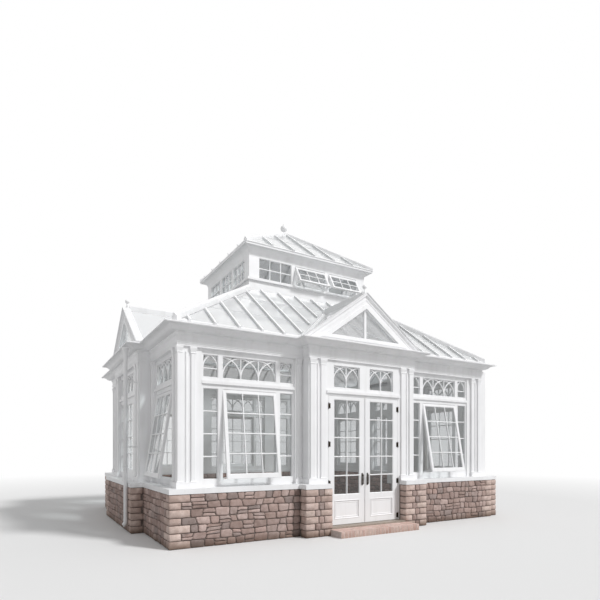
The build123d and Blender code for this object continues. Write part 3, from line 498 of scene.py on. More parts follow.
def axis_matrix(start, towards):
    """Matrix at a point whose z axis looks along a direction."""
    matrix = towards.to_track_quat("Z", "Y").to_matrix().to_4x4()
    matrix.translation = start
    return matrix


def rod(shape, start, end, radius, sides=10):
    """Round rod between two points, with softened ends."""
    way = end - start
    length, soft = way.length, radius * 0.4
    profile = [(radius - soft, 0), (radius, soft), (radius, length - soft), (radius - soft, length)]
    turned(shape, axis_matrix(start, way), profile, sides)


def roll(shape, start, end, lift, radius):
    """Wooden roll along the top of a sloping bar, lift above its foot line."""
    way = (end - start).normalized()
    normal = (UP - way * UP.dot(way)).normalized()
    matrix = plane_matrix(start + UP * lift, way, normal.cross(way))
    angles = [math.radians(-40 + 260 * index / 10) for index in range(11)]
    centre = radius * 0.62
    profile = [(radius * math.cos(angle), centre + radius * math.sin(angle)) for angle in angles]
    sweep(shape, matrix, [(0, 0), ((end - start).length, 0)], profile)


# Windows
Light = namedtuple("Light", "matrix width height columns rows tracery pane", defaults=(None, PANE))


def flat_light(wall, centre, width, depth, low, high, *kind):
    """Light upright in a wall between two levels, with its columns, its rows and its tracery."""
    return Light(wall_matrix(wall, centre, depth, low), width, high - low, *kind)


def bar_profile(pane, nose, reach):
    """Section of a glazing bar that stands on both faces of the glass."""
    seat, top = pane / 2, pane / 2 + reach
    side = [(BAR_FOOT, seat - 0.001), (BAR_FOOT, seat + 0.003)]
    side += [(nose + 0.002, top - 0.004), (nose, top)]
    outer = side + [(-x, y) for x, y in reversed(side)]
    return outer + [(-x, -y) for x, y in outer]


def arc(centre_x, centre_y, radius, start, end, steps):
    """Points of an arc, angles in degrees."""
    found = []
    for index in range(steps + 1):
        turn = math.radians(start + (end - start) * index / steps)
        found.append((centre_x + radius * math.cos(turn), centre_y + radius * math.sin(turn)))
    return found


def tracery_paths(light):
    """Paths of the bars in a transom light: a pointed arch, or interlaced round ones."""
    width, half = light.width, light.width / 2
    if light.tracery == "pointed":
        spring = light.height - width * math.sin(math.radians(60))
        arches = [arc(-half, spring, width, 0, 60, 12), arc(half, spring, width, 180, 120, 12)]
        return [[(-half, spring), (half, spring)]] + arches
    column = width / light.columns
    spring = light.height - column - ARCH_GAP
    uprights = [-half + column * index for index in range(1, light.columns)]
    paths = [[(x, 0), (x, light.height)] for x in uprights]
    paths += [arc(x, spring, column, 0, 180, 28) for x in uprights]
    return paths + [arc(-half, spring, column, 0, 90, 14), arc(half, spring, column, 180, 90, 14)]


def add_bars(shape, light):
    """Glazing bars of one light, whose matrix is at the middle of its bottom edge."""
    half = light.width / 2
    bars = []
    if light.tracery:
        for index, path in enumerate(tracery_paths(light)):
            lower = 0.0007 * index
            bars.append((path, 0.006 + lower / 4, 0.015 - lower))
    else:
        for column in range(1, light.columns):
            x = -half + light.width * column / light.columns
            bars.append(([(x, 0), (x, light.height)], 0.006, 0.014))
        for row in range(1, light.rows):
            y = light.height * row / light.rows
            bars.append(([(-half, y), (half, y)], 0.0065, 0.0132))
    for path, nose, reach in bars:
        sweep(shape, light.matrix, path, bar_profile(light.pane, nose, reach))


def add_bead(shape, light, width, reach):
    """Moulded bead round a light, on both faces of its glass."""
    half = light.width / 2
    path = [(-half, 0), (half, 0), (half, light.height), (-half, light.height)]
    seat = light.pane / 2
    profile = [(0, seat), (width, seat), (width * 0.75, seat + reach * 0.55)]
    profile += [(width * 0.3, seat + reach * 0.85), (0, seat + reach)]
    for face in (-1, 1):
        sweep(shape, light.matrix, path, [(a, face * out) for a, out in profile], closed=True)


Window = namedtuple("Window", "wall centre width depth narrow_lights angle")
SASH_ANGLES = {("front", -1): 8, ("front", 1): 11, ("left", 1): 9}


def window_list():
    """All the windows, as in the part's source."""
    found = []
    for side, wall in WALLS.items():
        outer = wall.half_run - POST_WIDTH
        inner = BAY_HALF_WIDTH + NARROW_WIDTH
        for hand in (-1, 1):
            angle = SASH_ANGLES.get((side, hand), 0)
            centre = hand * (outer + inner) / 2
            found.append(Window(wall, centre, outer - inner, 0, side in ("front", "back"), angle))
        if side != "front":
            found.append(Window(wall, 0, 2 * DOORWAY_HALF_WIDTH, -wall.bay, True, 0))
    return found


def sash_half(window):
    """Half the width of a window's sash."""
    side = FRAME_JAMB + NARROW_LIGHT + MULLION if window.narrow_lights else SINGLE_JAMB
    return window.width / 2 - side


def window_lights(window):
    """Transom lights, narrow lights and sash glass of one window."""
    half = sash_half(window)
    depth = window.depth + FRAME_RECESS
    kinds = [(window.centre, 2 * half, TRANSOM_BOTTOM, TRANSOM_TOP, 3, 1, "interlaced")]
    if window.narrow_lights:
        offset = window.width / 2 - FRAME_JAMB - NARROW_LIGHT / 2
        for centre in (window.centre - offset, window.centre + offset):
            kinds.append((centre, NARROW_LIGHT, TRANSOM_BOTTOM, TRANSOM_TOP, 1, 1, "pointed"))
            kinds.append((centre, NARROW_LIGHT, LIGHT_BOTTOM, LIGHT_TOP, 1, 4))
    found = [flat_light(window.wall, *kind[:2], depth + FRAME_DEPTH / 2, *kind[2:]) for kind in kinds]
    hinge = swung_matrix(window.wall, window.centre, depth, LIGHT_TOP, window.angle)
    low = LIGHT_BOTTOM - LIGHT_TOP + SASH_BOTTOM_RAIL
    high = -SASH_DEPTH * math.tan(math.radians(window.angle)) - SASH_STILE
    place = hinge @ Matrix.Translation((0, low, -SASH_DEPTH / 2))
    found.append(Light(place, 2 * (half - SASH_STILE), high - low, 3, 4, None, SASH_PANE))
    return found


def add_windows():
    """Glazing bars and beads of all the windows."""
    for side, wall in WALLS.items():
        bars, beads = Shape(), Shape()
        for window in window_list():
            if window.wall is wall:
                for light in window_lights(window):
                    add_bars(bars, light)
                    add_bead(beads, light, 0.011, 0.012 if light.pane == SASH_PANE else 0.02)
        bars.make(side + "_glazing_bars", BAR_PAINT)
        beads.make(side + "_glazing_beads", PAINT)


def add_door_glazing():
    """Bars and beads of the doors and of the lights over them."""
    upper = Shape()
    for hand, name in HANDS:
        leaf = Shape()
        middle = hand * (DOOR_LIGHT_INNER + DOOR_LIGHT_OUTER) / 2
        place = (FRONT, middle, DOOR_LIGHT_OUTER - DOOR_LIGHT_INNER)
        depth = DOOR_FACE + DOOR_THICKNESS / 2
        light = flat_light(*place, depth, DOOR_GLASS_BOTTOM, DOOR_GLASS_TOP, 2, 5)
        add_bars(leaf, light)
        add_bead(leaf, light, 0.012, 0.012)
        leaf.make("door_bars_" + name, BAR_PAINT, "door_" + name)
        depth = DOOR_FACE + DOOR_FRAME_DEPTH / 2
        light = flat_light(*place, depth, DOOR_TRANSOM_BOTTOM, TRANSOM_TOP, 2, 1, "interlaced")
        add_bars(upper, light)
        add_bead(upper, light, 0.011, 0.02)
    upper.make("door_transom_bars", BAR_PAINT)


def lantern_light_width(wall):
    """Width of each of the three lights in a wall of the lantern."""
    return (2 * (wall.half_run - LANTERN_POST) - 2 * LANTERN_MULLION) / 3


def add_lantern_glazing():
    """Glazing bars and beads of the lantern, those of the open lights swung out with the sashes."""
    bars = Shape()
    height = LANTERN_LIGHT_HEIGHT
    drop = SASH_DEPTH * math.tan(math.radians(LANTERN_SASH_ANGLE))
    for side, wall in LANTERN_WALLS.items():
        width = lantern_light_width(wall)
        for index in (-1, 0, 1):
            centre = index * (width + LANTERN_MULLION)
            place = wall_matrix(wall, centre, LANTERN_WALL / 2, LANTERN_LIGHT_BOTTOM)
            light = Light(place, width, height, 3, 2)
            if side == "front" and index >= 0:
                hinge = swung_matrix(wall, centre, 0, LANTERN_LIGHT_TOP, LANTERN_SASH_ANGLE)
                place = hinge @ Matrix.Translation((0, LANTERN_STILE - height, -SASH_DEPTH / 2))
                size = (width - 2 * LANTERN_STILE, height - drop - 2 * LANTERN_STILE)
                light = Light(place, *size, 3, 2, None, SASH_PANE)
            add_bars(bars, light)
            add_bead(bars, light, 0.01, 0.014)
    bars.make("lantern_glazing_bars", BAR_PAINT)


# Roofs
Slope = namedtuple("Slope", "wall run rise half_eave half_top proud level gabled")
GABLE_RISE = GABLE_RIDGE - PLATE_TOP
GABLE_PITCH = (GABLE_TOP - PLATE_TOP) / GABLE_HALF_WIDTH
PURLIN_SHARES = (0.34, 0.7)
LANTERN_LAP_SHARE = 0.46
GLASS_MARGIN = 0.055
VALLEY_MARGIN = 0.08
FLASHING_MARGIN = 0.05
HIP_ROLL = 0.026
THIN_ROLL = 0.02
SADDLE_REACH = 0.15
SADDLE_MARGIN = 0.09


def roof_slopes():
    """The four slopes of the main roof and the four of the lantern's, as in the part's source."""
    found = []
    for walls, above, proud, low, high in (
        (WALLS, LANTERN_WALLS, EAVE_PROUD, PLATE_TOP, CURB_TOP),
        (LANTERN_WALLS, four_walls(0, 0), COVE_PROJECTION, LANTERN_EAVE, LANTERN_APEX),
    ):
        for side, wall in walls.items():
            run = (wall.middle - above[side].middle).length + proud
            halves = (wall.half_run + proud, above[side].half_run)
            found.append(Slope(wall, run, high - low, *halves, proud, low, wall.bay > 0))
    return found


def slope_matrix(slope):
    """Matrix on a slope's lower glass face: x along the eave, y up the slope, z out of it."""
    inward = UP.cross(slope.wall.along)
    uphill = (inward * slope.run + UP * slope.rise).normalized()
    foot = slope.wall.middle - inward * slope.proud + UP * slope.level
    return plane_matrix(foot, slope.wall.along, uphill)


def spans(outer, inner):
    """The stretches on both sides of a gap in the middle, or one where there is no gap."""
    return [(-outer, -inner), (inner, outer)] if inner else [(-outer, outer)]


def add_saddle(shape, matrix, crest):
    """Metal saddle on a main slope where a gable's ridge and valleys end."""
    side = crest * (1 - SADDLE_REACH / GABLE_EAVE)
    low, high = side - SADDLE_MARGIN, side + SADDLE_MARGIN
    outline = [(0, crest + SADDLE_MARGIN), (-SADDLE_REACH, high), (-SADDLE_REACH, low)]
    outline += [(SADDLE_REACH, low), (SADDLE_REACH, high)]
    skin(shape, [[matrix @ Vector((x, y, out)) for x, y in outline] for out in (-0.003, 0.0235)])


def add_roof_trim():
    """Purlins, laps of the panes, eave flashings, saddles, and rolls on hips and ridges."""
    purlins, laps, flashings, saddles, rolls = [Shape() for _ in range(5)]
    purlin = in_mm(-22, -3, 22, -3, 22, -70, 12, -85, -12, -85, -22, -70)
    lap = in_mm(-6, 19, 5, 19, 5, 21.5, -2, 24.5, -6, 24.5)
    flashing = in_mm(60, 20.5, 60, 22.5, 0, 23.5, -5, 21, -5, -26, -1, -26, -1, 19)
    for slope in roof_slopes():
        matrix = slope_matrix(slope)
        length = math.hypot(slope.run, slope.rise)
        main = slope.level == PLATE_TOP
        valley_share = GABLE_RISE / slope.rise
        for share in PURLIN_SHARES if main else (LANTERN_LAP_SHARE,):
            outer = slope.half_eave + (slope.half_top - slope.half_eave) * share - GLASS_MARGIN
            inner = 0
            if slope.gabled and share < valley_share:
                inner = GABLE_EAVE * (1 - share / valley_share) + VALLEY_MARGIN
            height = length * share
            for low, high in spans(outer, inner):
                sweep(laps, matrix, [(low, height), (high, height)], lap)
                if main:
                    sweep(purlins, matrix, [(low, height), (high, height)], purlin)
        for low, high in spans(slope.half_eave, GABLE_EAVE + FLASHING_MARGIN if slope.gabled else 0):
            sweep(flashings, matrix, [(low, 0), (high, 0)], flashing)
        if slope.gabled:
            inward = UP.cross(slope.wall.along)
            start = slope.wall.middle + inward * GABLE_BACK + UP * GABLE_RIDGE
            end = start + inward * (slope.run * valley_share - EAVE_PROUD - GABLE_BACK)
            roll(rolls, start, end, RIDGE_HEIGHT, THIN_ROLL)
            add_saddle(saddles, matrix, length * valley_share)
    for x, y in product((-1, 1), repeat=2):
        foot = Vector((x * (HALF_FRONT + EAVE_PROUD), y * (HALF_SIDE + EAVE_PROUD), PLATE_TOP))
        head = Vector((x * LANTERN_HALF_LENGTH, y * LANTERN_HALF_DEPTH, CURB_TOP))
        roll(rolls, foot, head, HIP_HEIGHT, HIP_ROLL)
        foot = head + Vector((x * COVE_PROJECTION, y * COVE_PROJECTION, LANTERN_EAVE - CURB_TOP))
        head = foot.lerp(Vector((0, 0, LANTERN_APEX)), 1 - FINIAL_CAP_RADIUS / foot.xy.length)
        roll(rolls, foot, head, LANTERN_HIP_HEIGHT, THIN_ROLL)
    purlins.make("roof_purlins", PAINT)
    laps.make("roof_glass_laps", METAL_PAINT)
    flashings.make("roof_eave_flashings", METAL_PAINT)
    rolls.make("roof_rolls", PAINT)
    saddles.make("valley_saddles", METAL_PAINT)


def gable_triangle(inset, low):
    """Triangle parallel to a gable's rakes, from a level up, as in the part's source."""
    apex = GABLE_TOP - inset * math.hypot(1, GABLE_PITCH)
    foot = (apex - low) / GABLE_PITCH
    return [(-foot, low), (foot, low), (0, apex)]


def add_gable_trim():
    """Cap, hollow and bead on the rakes of each gable, and the mouldings round its lights."""
    trim = Shape()
    cap = in_mm(0.5, -96, 12, -96, 14, 44, 9, 52, 0.5, 52)
    hollow = in_mm(-31.5, -1, -31.5, 26, -36, 19, -42, 11, -52, 6, -54, -1)
    bead = in_mm(-90, -0.5, -90, 4, -95, 8, -103, 8, -108, 4, -108, -0.5)
    cove = in_mm(1, -1, -18, -1, -16, 5, -10, 8, -5, 13, -2, 20.5, 1, 20.5)
    stop = in_mm(-1, -34.5, 13, -34.5, 10.5, -28, 5, -22, -1, -20.5)
    rakes = [(-GABLE_HALF_WIDTH, PLATE_TOP), (0, GABLE_TOP), (GABLE_HALF_WIDTH, PLATE_TOP)]
    frame_edge = gable_triangle(RAKE_WIDTH - RAKE_BEAD, GABLE_SILL_TOP - RAKE_BEAD)
    _, (foot, low), (_, apex) = gable_triangle(RAKE_WIDTH, GABLE_SILL_TOP)
    middle = KING_BAR / 2
    light = [(middle, low), (foot, low), (middle, apex - middle * GABLE_PITCH)]
    other_light = [(-x, y) for x, y in reversed(light)]
    for side in ("front", "left", "right"):
        matrix = wall_matrix(WALLS[side], 0, GABLE_FACE, 0)
        for profile in (cap, hollow, bead):
            sweep(trim, matrix, rakes, profile)
        for path, profile in ((frame_edge, cove), (light, stop), (other_light, stop)):
            sweep(trim, matrix, path, profile, closed=True)
    trim.make("gable_trim", PAINT)


# Beams and cornice
def wall_line():
    """Plan of the outer wall faces, round the house against the clock."""
    found = []
    half = BAY_HALF_WIDTH
    for side in ("front", "right", "back", "left"):
        wall = WALLS[side]
        outward = wall.along.cross(UP)
        bay = [(-half, 0), (-half, wall.bay), (half, wall.bay), (half, 0)] if wall.bay else []
        for along, out in bay + [(wall.half_run, 0)]:
            found.append((wall.middle + wall.along * along + outward * out).xy)
    return found


def add_entablature():
    """Fine mouldings on the beams and the cornice, mitred round every break of the walls."""
    mouldings = Shape()
    edge_bead = in_mm(2, 0, -4, 1, -6.5, 6, -4, 11, 2, 12)
    upper_fascia = in_mm(2, 0, -5, 0, -5, 14, -6.5, 21, -10.5, 27, 2, 27.8)
    bed_mould = in_mm(-4, 0, -10, 0.5, -11.5, 6, -13, 12, -18, 19)
    bed_mould += in_mm(-25.5, 24, -28.5, 30, -28.5, 36.5, -4, 36.5)
    lip_bead = in_mm(-238.5, 0, -242.5, 1, -245, 6, -242.5, 11, -238.5, 12)
    for level, profile in (
        (BEAM_BOTTOM + 0.004, edge_bead),
        (BEAM_BOTTOM + 0.032, upper_fascia),
        (BEAM_TOP - 0.037, bed_mould),
        (CORNICE_TOP - 0.019, lip_bead),
    ):
        sweep(mouldings, Matrix.Translation(UP * level), wall_line(), profile, closed=True)
    mouldings.make("cornice_mouldings", PAINT)


# Pilasters
def add_pilaster_rings():
    """Bead above the plinth and necking ring under the capital, round each shaft."""
    rings = Shape()
    bead = in_mm(4, 0, -7, 0, -12, 4, -13, 9, -11, 14, -6, 18, -3, 21, 4, 21)
    necking = in_mm(4, 0, -3, 1, -8, 5, -9, 9, -8, 13, -3, 17, 4, 18)
    back = BOARD_RECESS + 0.001
    for wall in WALLS.values():
        half = wall.half_run
        corner = half - CORNER_SHAFT
        edge = half - CORNER_WIDTH
        shafts = [(low, CORNER_SHAFT, 0) for low in (edge, -edge - CORNER_SHAFT)]
        for low in (-BAY_HALF_WIDTH - NARROW_WIDTH, BAY_HALF_WIDTH):
            shafts.append((low + NARROW_MARGIN, NARROW_WIDTH - 2 * NARROW_MARGIN, 0))
        for low in (-BAY_HALF_WIDTH, DOORWAY_HALF_WIDTH):
            for place in (low + BROAD_MARGIN, low + BROAD_WIDTH - BROAD_MARGIN - BROAD_SHAFT):
                shafts.append((place, BROAD_SHAFT, -wall.bay))
        paths = [[(corner, back), (corner, 0), (half, 0), (half, CORNER_SHAFT)]]
        paths[0].append((half - back, CORNER_SHAFT))
        for low, width, face in shafts:
            high = low + width
            paths.append([(low, face + back), (low, face), (high, face), (high, face + back)])
        for level, profile in ((PLINTH_TOP, bead), (CAPITAL_BOTTOM - 0.024, necking)):
            matrix = plane_matrix(wall.middle + UP * level, wall.along, UP.cross(wall.along))
            for path in paths:
                sweep(rings, matrix, path, profile)
    rings.make("pilaster_rings", PAINT)


# Hardware
def add_door_hardware():
    """Handles with backplates and locks, and the tips and joints of the hinges."""
    radius, x_centre, y_centre = 0.012, 0.005, 0.103
    plate = []
    for x, y, start in ((1, 1, 0), (-1, 1, 90), (-1, -1, 180), (1, -1, 270)):
        plate += arc(x * x_centre, y * y_centre, radius, start, start + 90, 5)
    bar = in_mm(3, 0, 7, 3, 8.5, 10, 6.5, 16, 6.5, 30, 8, 70, 8.5, 90)
    bar_half = bar[-1][1]
    bar += [(across, 2 * bar_half - height) for across, height in reversed(bar[:-1])]
    collar = in_mm(11, 4, 11, 7, 6, 11, 5.5, 30, 7, 40)
    lock = in_mm(8.5, 4, 8.5, 7.5, 7, 9, 4, 9, 3.5, 6.5)
    tip = in_mm(8.2, -2, 9.5, 0, 9.5, 3, 5, 5, 6.5, 9, 3, 14)
    knuckle = in_mm(7.9, -1.4, 8.8, -1.4, 8.8, 1.4, 7.9, 1.4)
    for hand, name in HANDS:
        handle, tips = Shape(), Shape()
        place = wall_matrix(FRONT, hand * HANDLE_X, DOOR_FACE, HANDLE_LEVEL)
        rings = [
            [place @ Vector((x * inset, y * (1 - (1 - inset) * 0.15), out)) for x, y in plate]
            for inset, out in ((1, 0), (1, 0.0032), (0.82, 0.005))
        ]
        skin(handle, rings)
        turned(handle, axis_matrix(place @ Vector((0, -bar_half, 0.045)), UP), bar)
        for y, profile, sides in ((-0.074, collar, 16), (0.074, collar, 16), (-0.1, lock, 20)):
            foot = place @ Vector((0, y, 0))
            turned(handle, axis_matrix(foot, FRONT.along.cross(UP)), profile, sides)
        piece = handle.make("handle_detail_" + name, BRONZE, "door_" + name, 40)
        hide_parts("door_handle_" + name)
        for level in HINGE_LEVELS:
            depth = DOOR_FACE - HINGE_RADIUS - 0.0003
            barrel = wall_matrix(FRONT, hand * HINGE_X, depth, level).translation
            for sign in (-1, 1):
                turned(tips, axis_matrix(barrel + UP * (sign * HINGE_HEIGHT / 2), UP * sign), tip, 14)
            for cut in (-0.022, 0, 0.022):
                turned(tips, axis_matrix(barrel + UP * cut, UP), knuckle, 14)
        tips.make("hinge_tips_" + name, BRONZE, "door_" + name, 40)


def add_door_mouldings():
    """Beads at the meeting edges and round the panels of the doors."""
    meeting_bead = in_mm(-5, -0.5, -5, 2, -3, 4.5, 0, 5.5, 3, 4.5, 5, 2, 5, -0.5)
    panel_bead = in_mm(9, -0.5, 9, 3, 0, 7, -9, 3, -9, -0.5)
    place = wall_matrix(FRONT, 0, DOOR_FACE, 0)
    for hand, name in HANDS:
        beads = Shape()
        sweep(beads, place, [(hand * 0.012, level) for level in (0.16, 2.47)], meeting_bead)
        edges = sorted((hand * (DOOR_LIGHT_INNER + 0.03), hand * (DOOR_LIGHT_OUTER - 0.03)))
        for inset, height in ((-0.012, 0), (0.022, -0.012)):
            left, right = edges[0] + inset, edges[1] - inset
            low, high = PANEL_BOTTOM + inset, PANEL_TOP - inset
            path = [(left, low), (right, low), (right, high), (left, high)]
            sweep(beads, place, path, [(a, height + out) for a, out in panel_bead], closed=True)
        beads.make("door_beads_" + name, PAINT, "door_" + name)


def add_stays():
    """Stays that hold the sashes open."""
    stays = Shape()
    stay_radius = 0.006
    for window in window_list():
        if window.angle:
            place = (window.wall, window.centre)
            hinge = swung_matrix(*place, window.depth + FRAME_RECESS, LIGHT_TOP, window.angle)
            sill = wall_matrix(*place, FRAME_RECESS + FRAME_DEPTH - 0.02, LIGHT_BOTTOM + 0.01)
            for side in (0.03 - sash_half(window), sash_half(window) - 0.03):
                low = hinge @ Vector((side, LIGHT_BOTTOM - LIGHT_TOP + 0.035, -SASH_DEPTH - 0.006))
                seat = sill @ Vector((side, 0, 0))
                rod(stays, seat, low, stay_radius)
                turned(stays, axis_matrix(seat - UP * 0.011, UP), in_mm(16, 0, 16, 6, 8, 14), 14)
    wall = LANTERN_WALLS["front"]
    width = lantern_light_width(wall)
    for centre in (0, width + LANTERN_MULLION):
        hinge = swung_matrix(wall, centre, 0, LANTERN_LIGHT_TOP, LANTERN_SASH_ANGLE)
        sill = wall_matrix(wall, centre, LANTERN_WALL / 2, LANTERN_LIGHT_BOTTOM + 0.004)
        for side in (0.02 - width / 2, width / 2 - 0.02):
            low = hinge @ Vector((side, 0.018 - LANTERN_LIGHT_HEIGHT, -SASH_DEPTH - 0.003))
            rod(stays, sill @ Vector((side, 0, 0)), low, stay_radius)
    stays.make("sash_stays", METAL_PAINT, smooth_angle=40)


def add_pipe_fittings():
    """Head, collars, brackets and shoe of the downpipe."""
    fittings = Shape()
    head = in_mm(0, -110, 6, -105, 8, -90, 24, -40, 30, -36, 30, -8, 26, -4, 0, -2)
    collar = in_mm(0, 0, 5, 2, 7, 8, 4, 14, 4, 60, 7, 66, 5, 72, 0, 74)
    band = in_mm(0, 0, 4, 1, 4, 24, 0, 25)
    rings = ((PIPE_TOP, head), (1.15, collar), (2.25, collar), (1.55, band), (2.75, band))
    for level, profile in rings:
        matrix = axis_matrix(Vector((PIPE_X, PIPE_Y, level)), UP)
        turned(fittings, matrix, [(PIPE_RADIUS + out, height) for out, height in profile], 28)
    wall_face = -HALF_FRONT - BAY_PROJECTION
    reach = wall_face - PIPE_X - PIPE_RADIUS
    for level in (1.5625, 2.7625):
        arm = Matrix.Translation((wall_face - reach / 2 + 0.001, PIPE_Y, level))
        block(fittings, arm, (reach + 0.004, 0.012, 0.022), 0.002)
        plate = Matrix.Translation((wall_face + BOARD_RECESS / 2 - 0.004, PIPE_Y, level))
        block(fittings, plate, (BOARD_RECESS + 0.012, 0.05, 0.06), 0.003)
    bend, outer, inner = 0.09, [], []
    for lift, angle in [(0.04, 0)] + [(0, 10 * step) for step in range(7)]:
        x, z = math.cos(math.radians(angle)), math.sin(math.radians(angle))
        centre = Vector((PIPE_X - bend * (1 - x), PIPE_Y, PIPE_BOTTOM + lift - bend * z))
        spokes = [Vector((-x * a, b, z * a)) for a, b in arc(0, 0, 1, 0, 342, 19)]
        outer.append([centre + spoke * (PIPE_RADIUS + 0.003) for spoke in spokes])
        inner.append([centre + spoke * (PIPE_RADIUS - 0.002) for spoke in spokes])
    skin(fittings, outer + inner[::-1], closed=True)
    fittings.make("downpipe_fittings", METAL_PAINT, smooth_angle=40)


# Stone base
def stone_face(shape, matrix, outline, proud, draw):
    """One dressed stone: a rounded, slightly uneven cushion on a wall face."""
    middle = sum((Vector(point) for point in outline), Vector((0, 0))) / len(outline)
    rings = []
    for inset, height in ((0, -0.01), (0, 0.45), (0.07, 0.85), (0.2, 1.0)):
        ring = []
        for point in outline:
            out = height + draw.uniform(-0.12, 0.12) * (height > 0.5)
            ring.append(matrix @ Vector((*Vector(point).lerp(middle, inset), proud * out)))
        rings.append(ring)
    skin(shape, rings, tip=matrix @ Vector((*middle, proud * draw.uniform(0.9, 1.1))))


def rounded_outline(corners, draw, steps=4):
    """Outline through four corners with rounded ends and slightly wavering edges."""
    outline = []
    corners = [Vector(corner) for corner in corners]
    for before, here, after in zip(corners[-1:] + corners, corners, corners[1:] + corners[:1]):
        reach = 0.28 * min((before - here).length, (after - here).length)
        start = here + (before - here).normalized() * reach
        end = here + (after - here).normalized() * reach
        for step in range(steps):
            share = step / (steps - 1)
            point = start.lerp(here, share).lerp(here.lerp(end, share), share)
            outline.append([value + draw.uniform(-0.003, 0.003) for value in point])
    return outline


COURSE_LEVELS = (0, 0.125, 0.238, 0.36, 0.47, 0.598, 0.708, 0.828)
COURSES = range(len(COURSE_LEVELS) - 1)
JOINT = 0.013
LONG_QUOIN = 0.31
SHORT_QUOIN = 0.17
STONE_LENGTHS = (0.1, 0.25)
STONE_PROUDS = (0.012, 0.02)
WAVE_RANGES = ((0.006, 0.014), (0.8, 1.3), (0, 6))
QUOIN_PROUD = 0.016
QUOIN_CHAMFER = 0.009
QUOIN_ROUGHNESS = 0.0018
REVEAL_PROUD = 0.002
REVEAL_REACH = 0.165
LONGEST_STONE = 0.3
LEAST_STACKED = 0.13
STACKED_SHARE = 0.2

# Corners of the stone base in plan, from the right of the doorway round to its left, by the side
# whose facings start there
BASE_CORNERS = (
    ("front", (0.863, -3.37), (1.39, -3.37), (1.39, -3.15), (3.65, -3.15), (3.65, -3.09)),
    ("right", (3.89, -3.09), (3.89, -2.68), (3.65, -2.68), (3.65, -1.39)),
    ("right", (3.87, -1.39), (3.87, 1.39), (3.65, 1.39)),
    ("back", (3.65, 3.15)),
    ("left", (-3.65, 3.15), (-3.65, 1.39), (-3.87, 1.39), (-3.87, -1.39), (-3.65, -1.39)),
    ("front", (-3.65, -3.15), (-1.39, -3.15), (-1.39, -3.37), (-0.863, -3.37)),
)

# The inner faces, from the left of the doorway round to its right
INNER_CORNERS = ((-0.863, -3.09), (-0.863, -2.75), (-3.25, -2.75), (-3.25, 2.75))
INNER_CORNERS += ((3.25, 2.75), (3.25, -2.75), (0.863, -2.75), (0.863, -3.09))


def quoin_length(course, leading, run):
    """Length of a corner block on the face that leaves its corner, or on the one that meets it."""
    length = LONG_QUOIN if (course % 2 == 0) == leading else SHORT_QUOIN
    return min(length, run - JOINT if run < 0.3 else run * 0.46)


def stone_run(shape, matrix, width, starts, ends, draw, lowest=0):
    """Roughly coursed stones on a face, between what its end blocks take in each course."""
    waves = [[draw.uniform(*limits) for limits in WAVE_RANGES] for _ in COURSE_LEVELS]
    level_start, level_end = max(starts), width - max(ends)

    def line(course, x):
        """Height of the joint under a course, level at its ends and wavy between."""
        size, length, phase = waves[course]
        fade = max(0, min(1, (x - level_start) / 0.25, (level_end - x) / 0.25))
        if course in (0, len(COURSES)):
            fade = 0
        return COURSE_LEVELS[course] + size * fade * math.sin(2 * math.pi * x / length + phase)

    for course in COURSES[lowest:]:
        first, last = starts[course], width - ends[course]
        if last - first < 0.05:
            continue
        cuts = [first]
        while last - cuts[-1] > LONGEST_STONE:
            cuts.append(cuts[-1] + draw.uniform(*STONE_LENGTHS))
        if last - cuts[-1] > 0.22:
            cuts.append((cuts[-1] + last) / 2)
        cuts.append(last)
        leans = [0] + [draw.uniform(-0.018, 0.018) for _ in cuts[1:-1]] + [0]
        for index in range(len(cuts) - 1):
            left, right = cuts[index] + JOINT / 2, cuts[index + 1] - JOINT / 2
            sag = [draw.uniform(-0.004, 0.004) for _ in range(4)]
            low = [line(course, x) + JOINT / 2 + drop for x, drop in zip((left, right), sag[:2])]
            high = [line(course + 1, x) - JOINT / 2 + drop for x, drop in zip((left, right), sag[2:])]
            stacked = right - left > LEAST_STACKED and draw.random() < STACKED_SHARE
            share = draw.uniform(0.4, 0.6)
            parts = [(low, high)]
            if stacked:
                middle = [under + (over - under) * share for under, over in zip(low, high)]
                parts = [(low, [value - JOINT / 2 for value in middle])]
                parts.append(([value + JOINT / 2 for value in middle], high))
            lean, next_lean = leans[index : index + 2]
            for under, over in parts:
                corners = [(left - lean, under[0]), (right - next_lean, under[1])]
                corners += [(right + next_lean, over[1]), (left + lean, over[0])]
                outline = rounded_outline(corners, draw)
                stone_face(shape, matrix, outline, draw.uniform(*STONE_PROUDS), draw)


def add_quoins(shape, corner, before, after, reaches, prouds, draw):
    """Corner blocks, a little uneven, on the two faces that meet at an outer corner.

    reaches holds a pair of lengths for each course, and prouds how far the blocks stand out of the
    face before the corner and out of the one after it.
    """
    matrix = Matrix((before, after, before.cross(after))).transposed().to_4x4()
    for course, (reach_before, reach_after) in enumerate(reaches):
        low, high = COURSE_LEVELS[course] + JOINT / 2, COURSE_LEVELS[course + 1] - JOINT / 2
        first = (JOINT / 2 - reach_before, prouds[1])
        second = (-prouds[0], reach_after - JOINT / 2)
        middle = before * sum(first) / 2 + after * sum(second) / 2 + UP * ((low + high) / 2)
        matrix.translation = corner + middle
        size = (first[1] - first[0], second[1] - second[0], high - low)
        start = len(shape.points)
        block(shape, matrix, size, QUOIN_CHAMFER)
        for index in range(start, len(shape.points)):
            rough = [draw.uniform(-QUOIN_ROUGHNESS, QUOIN_ROUGHNESS) for _ in range(3)]
            shape.points[index] += Vector(rough)


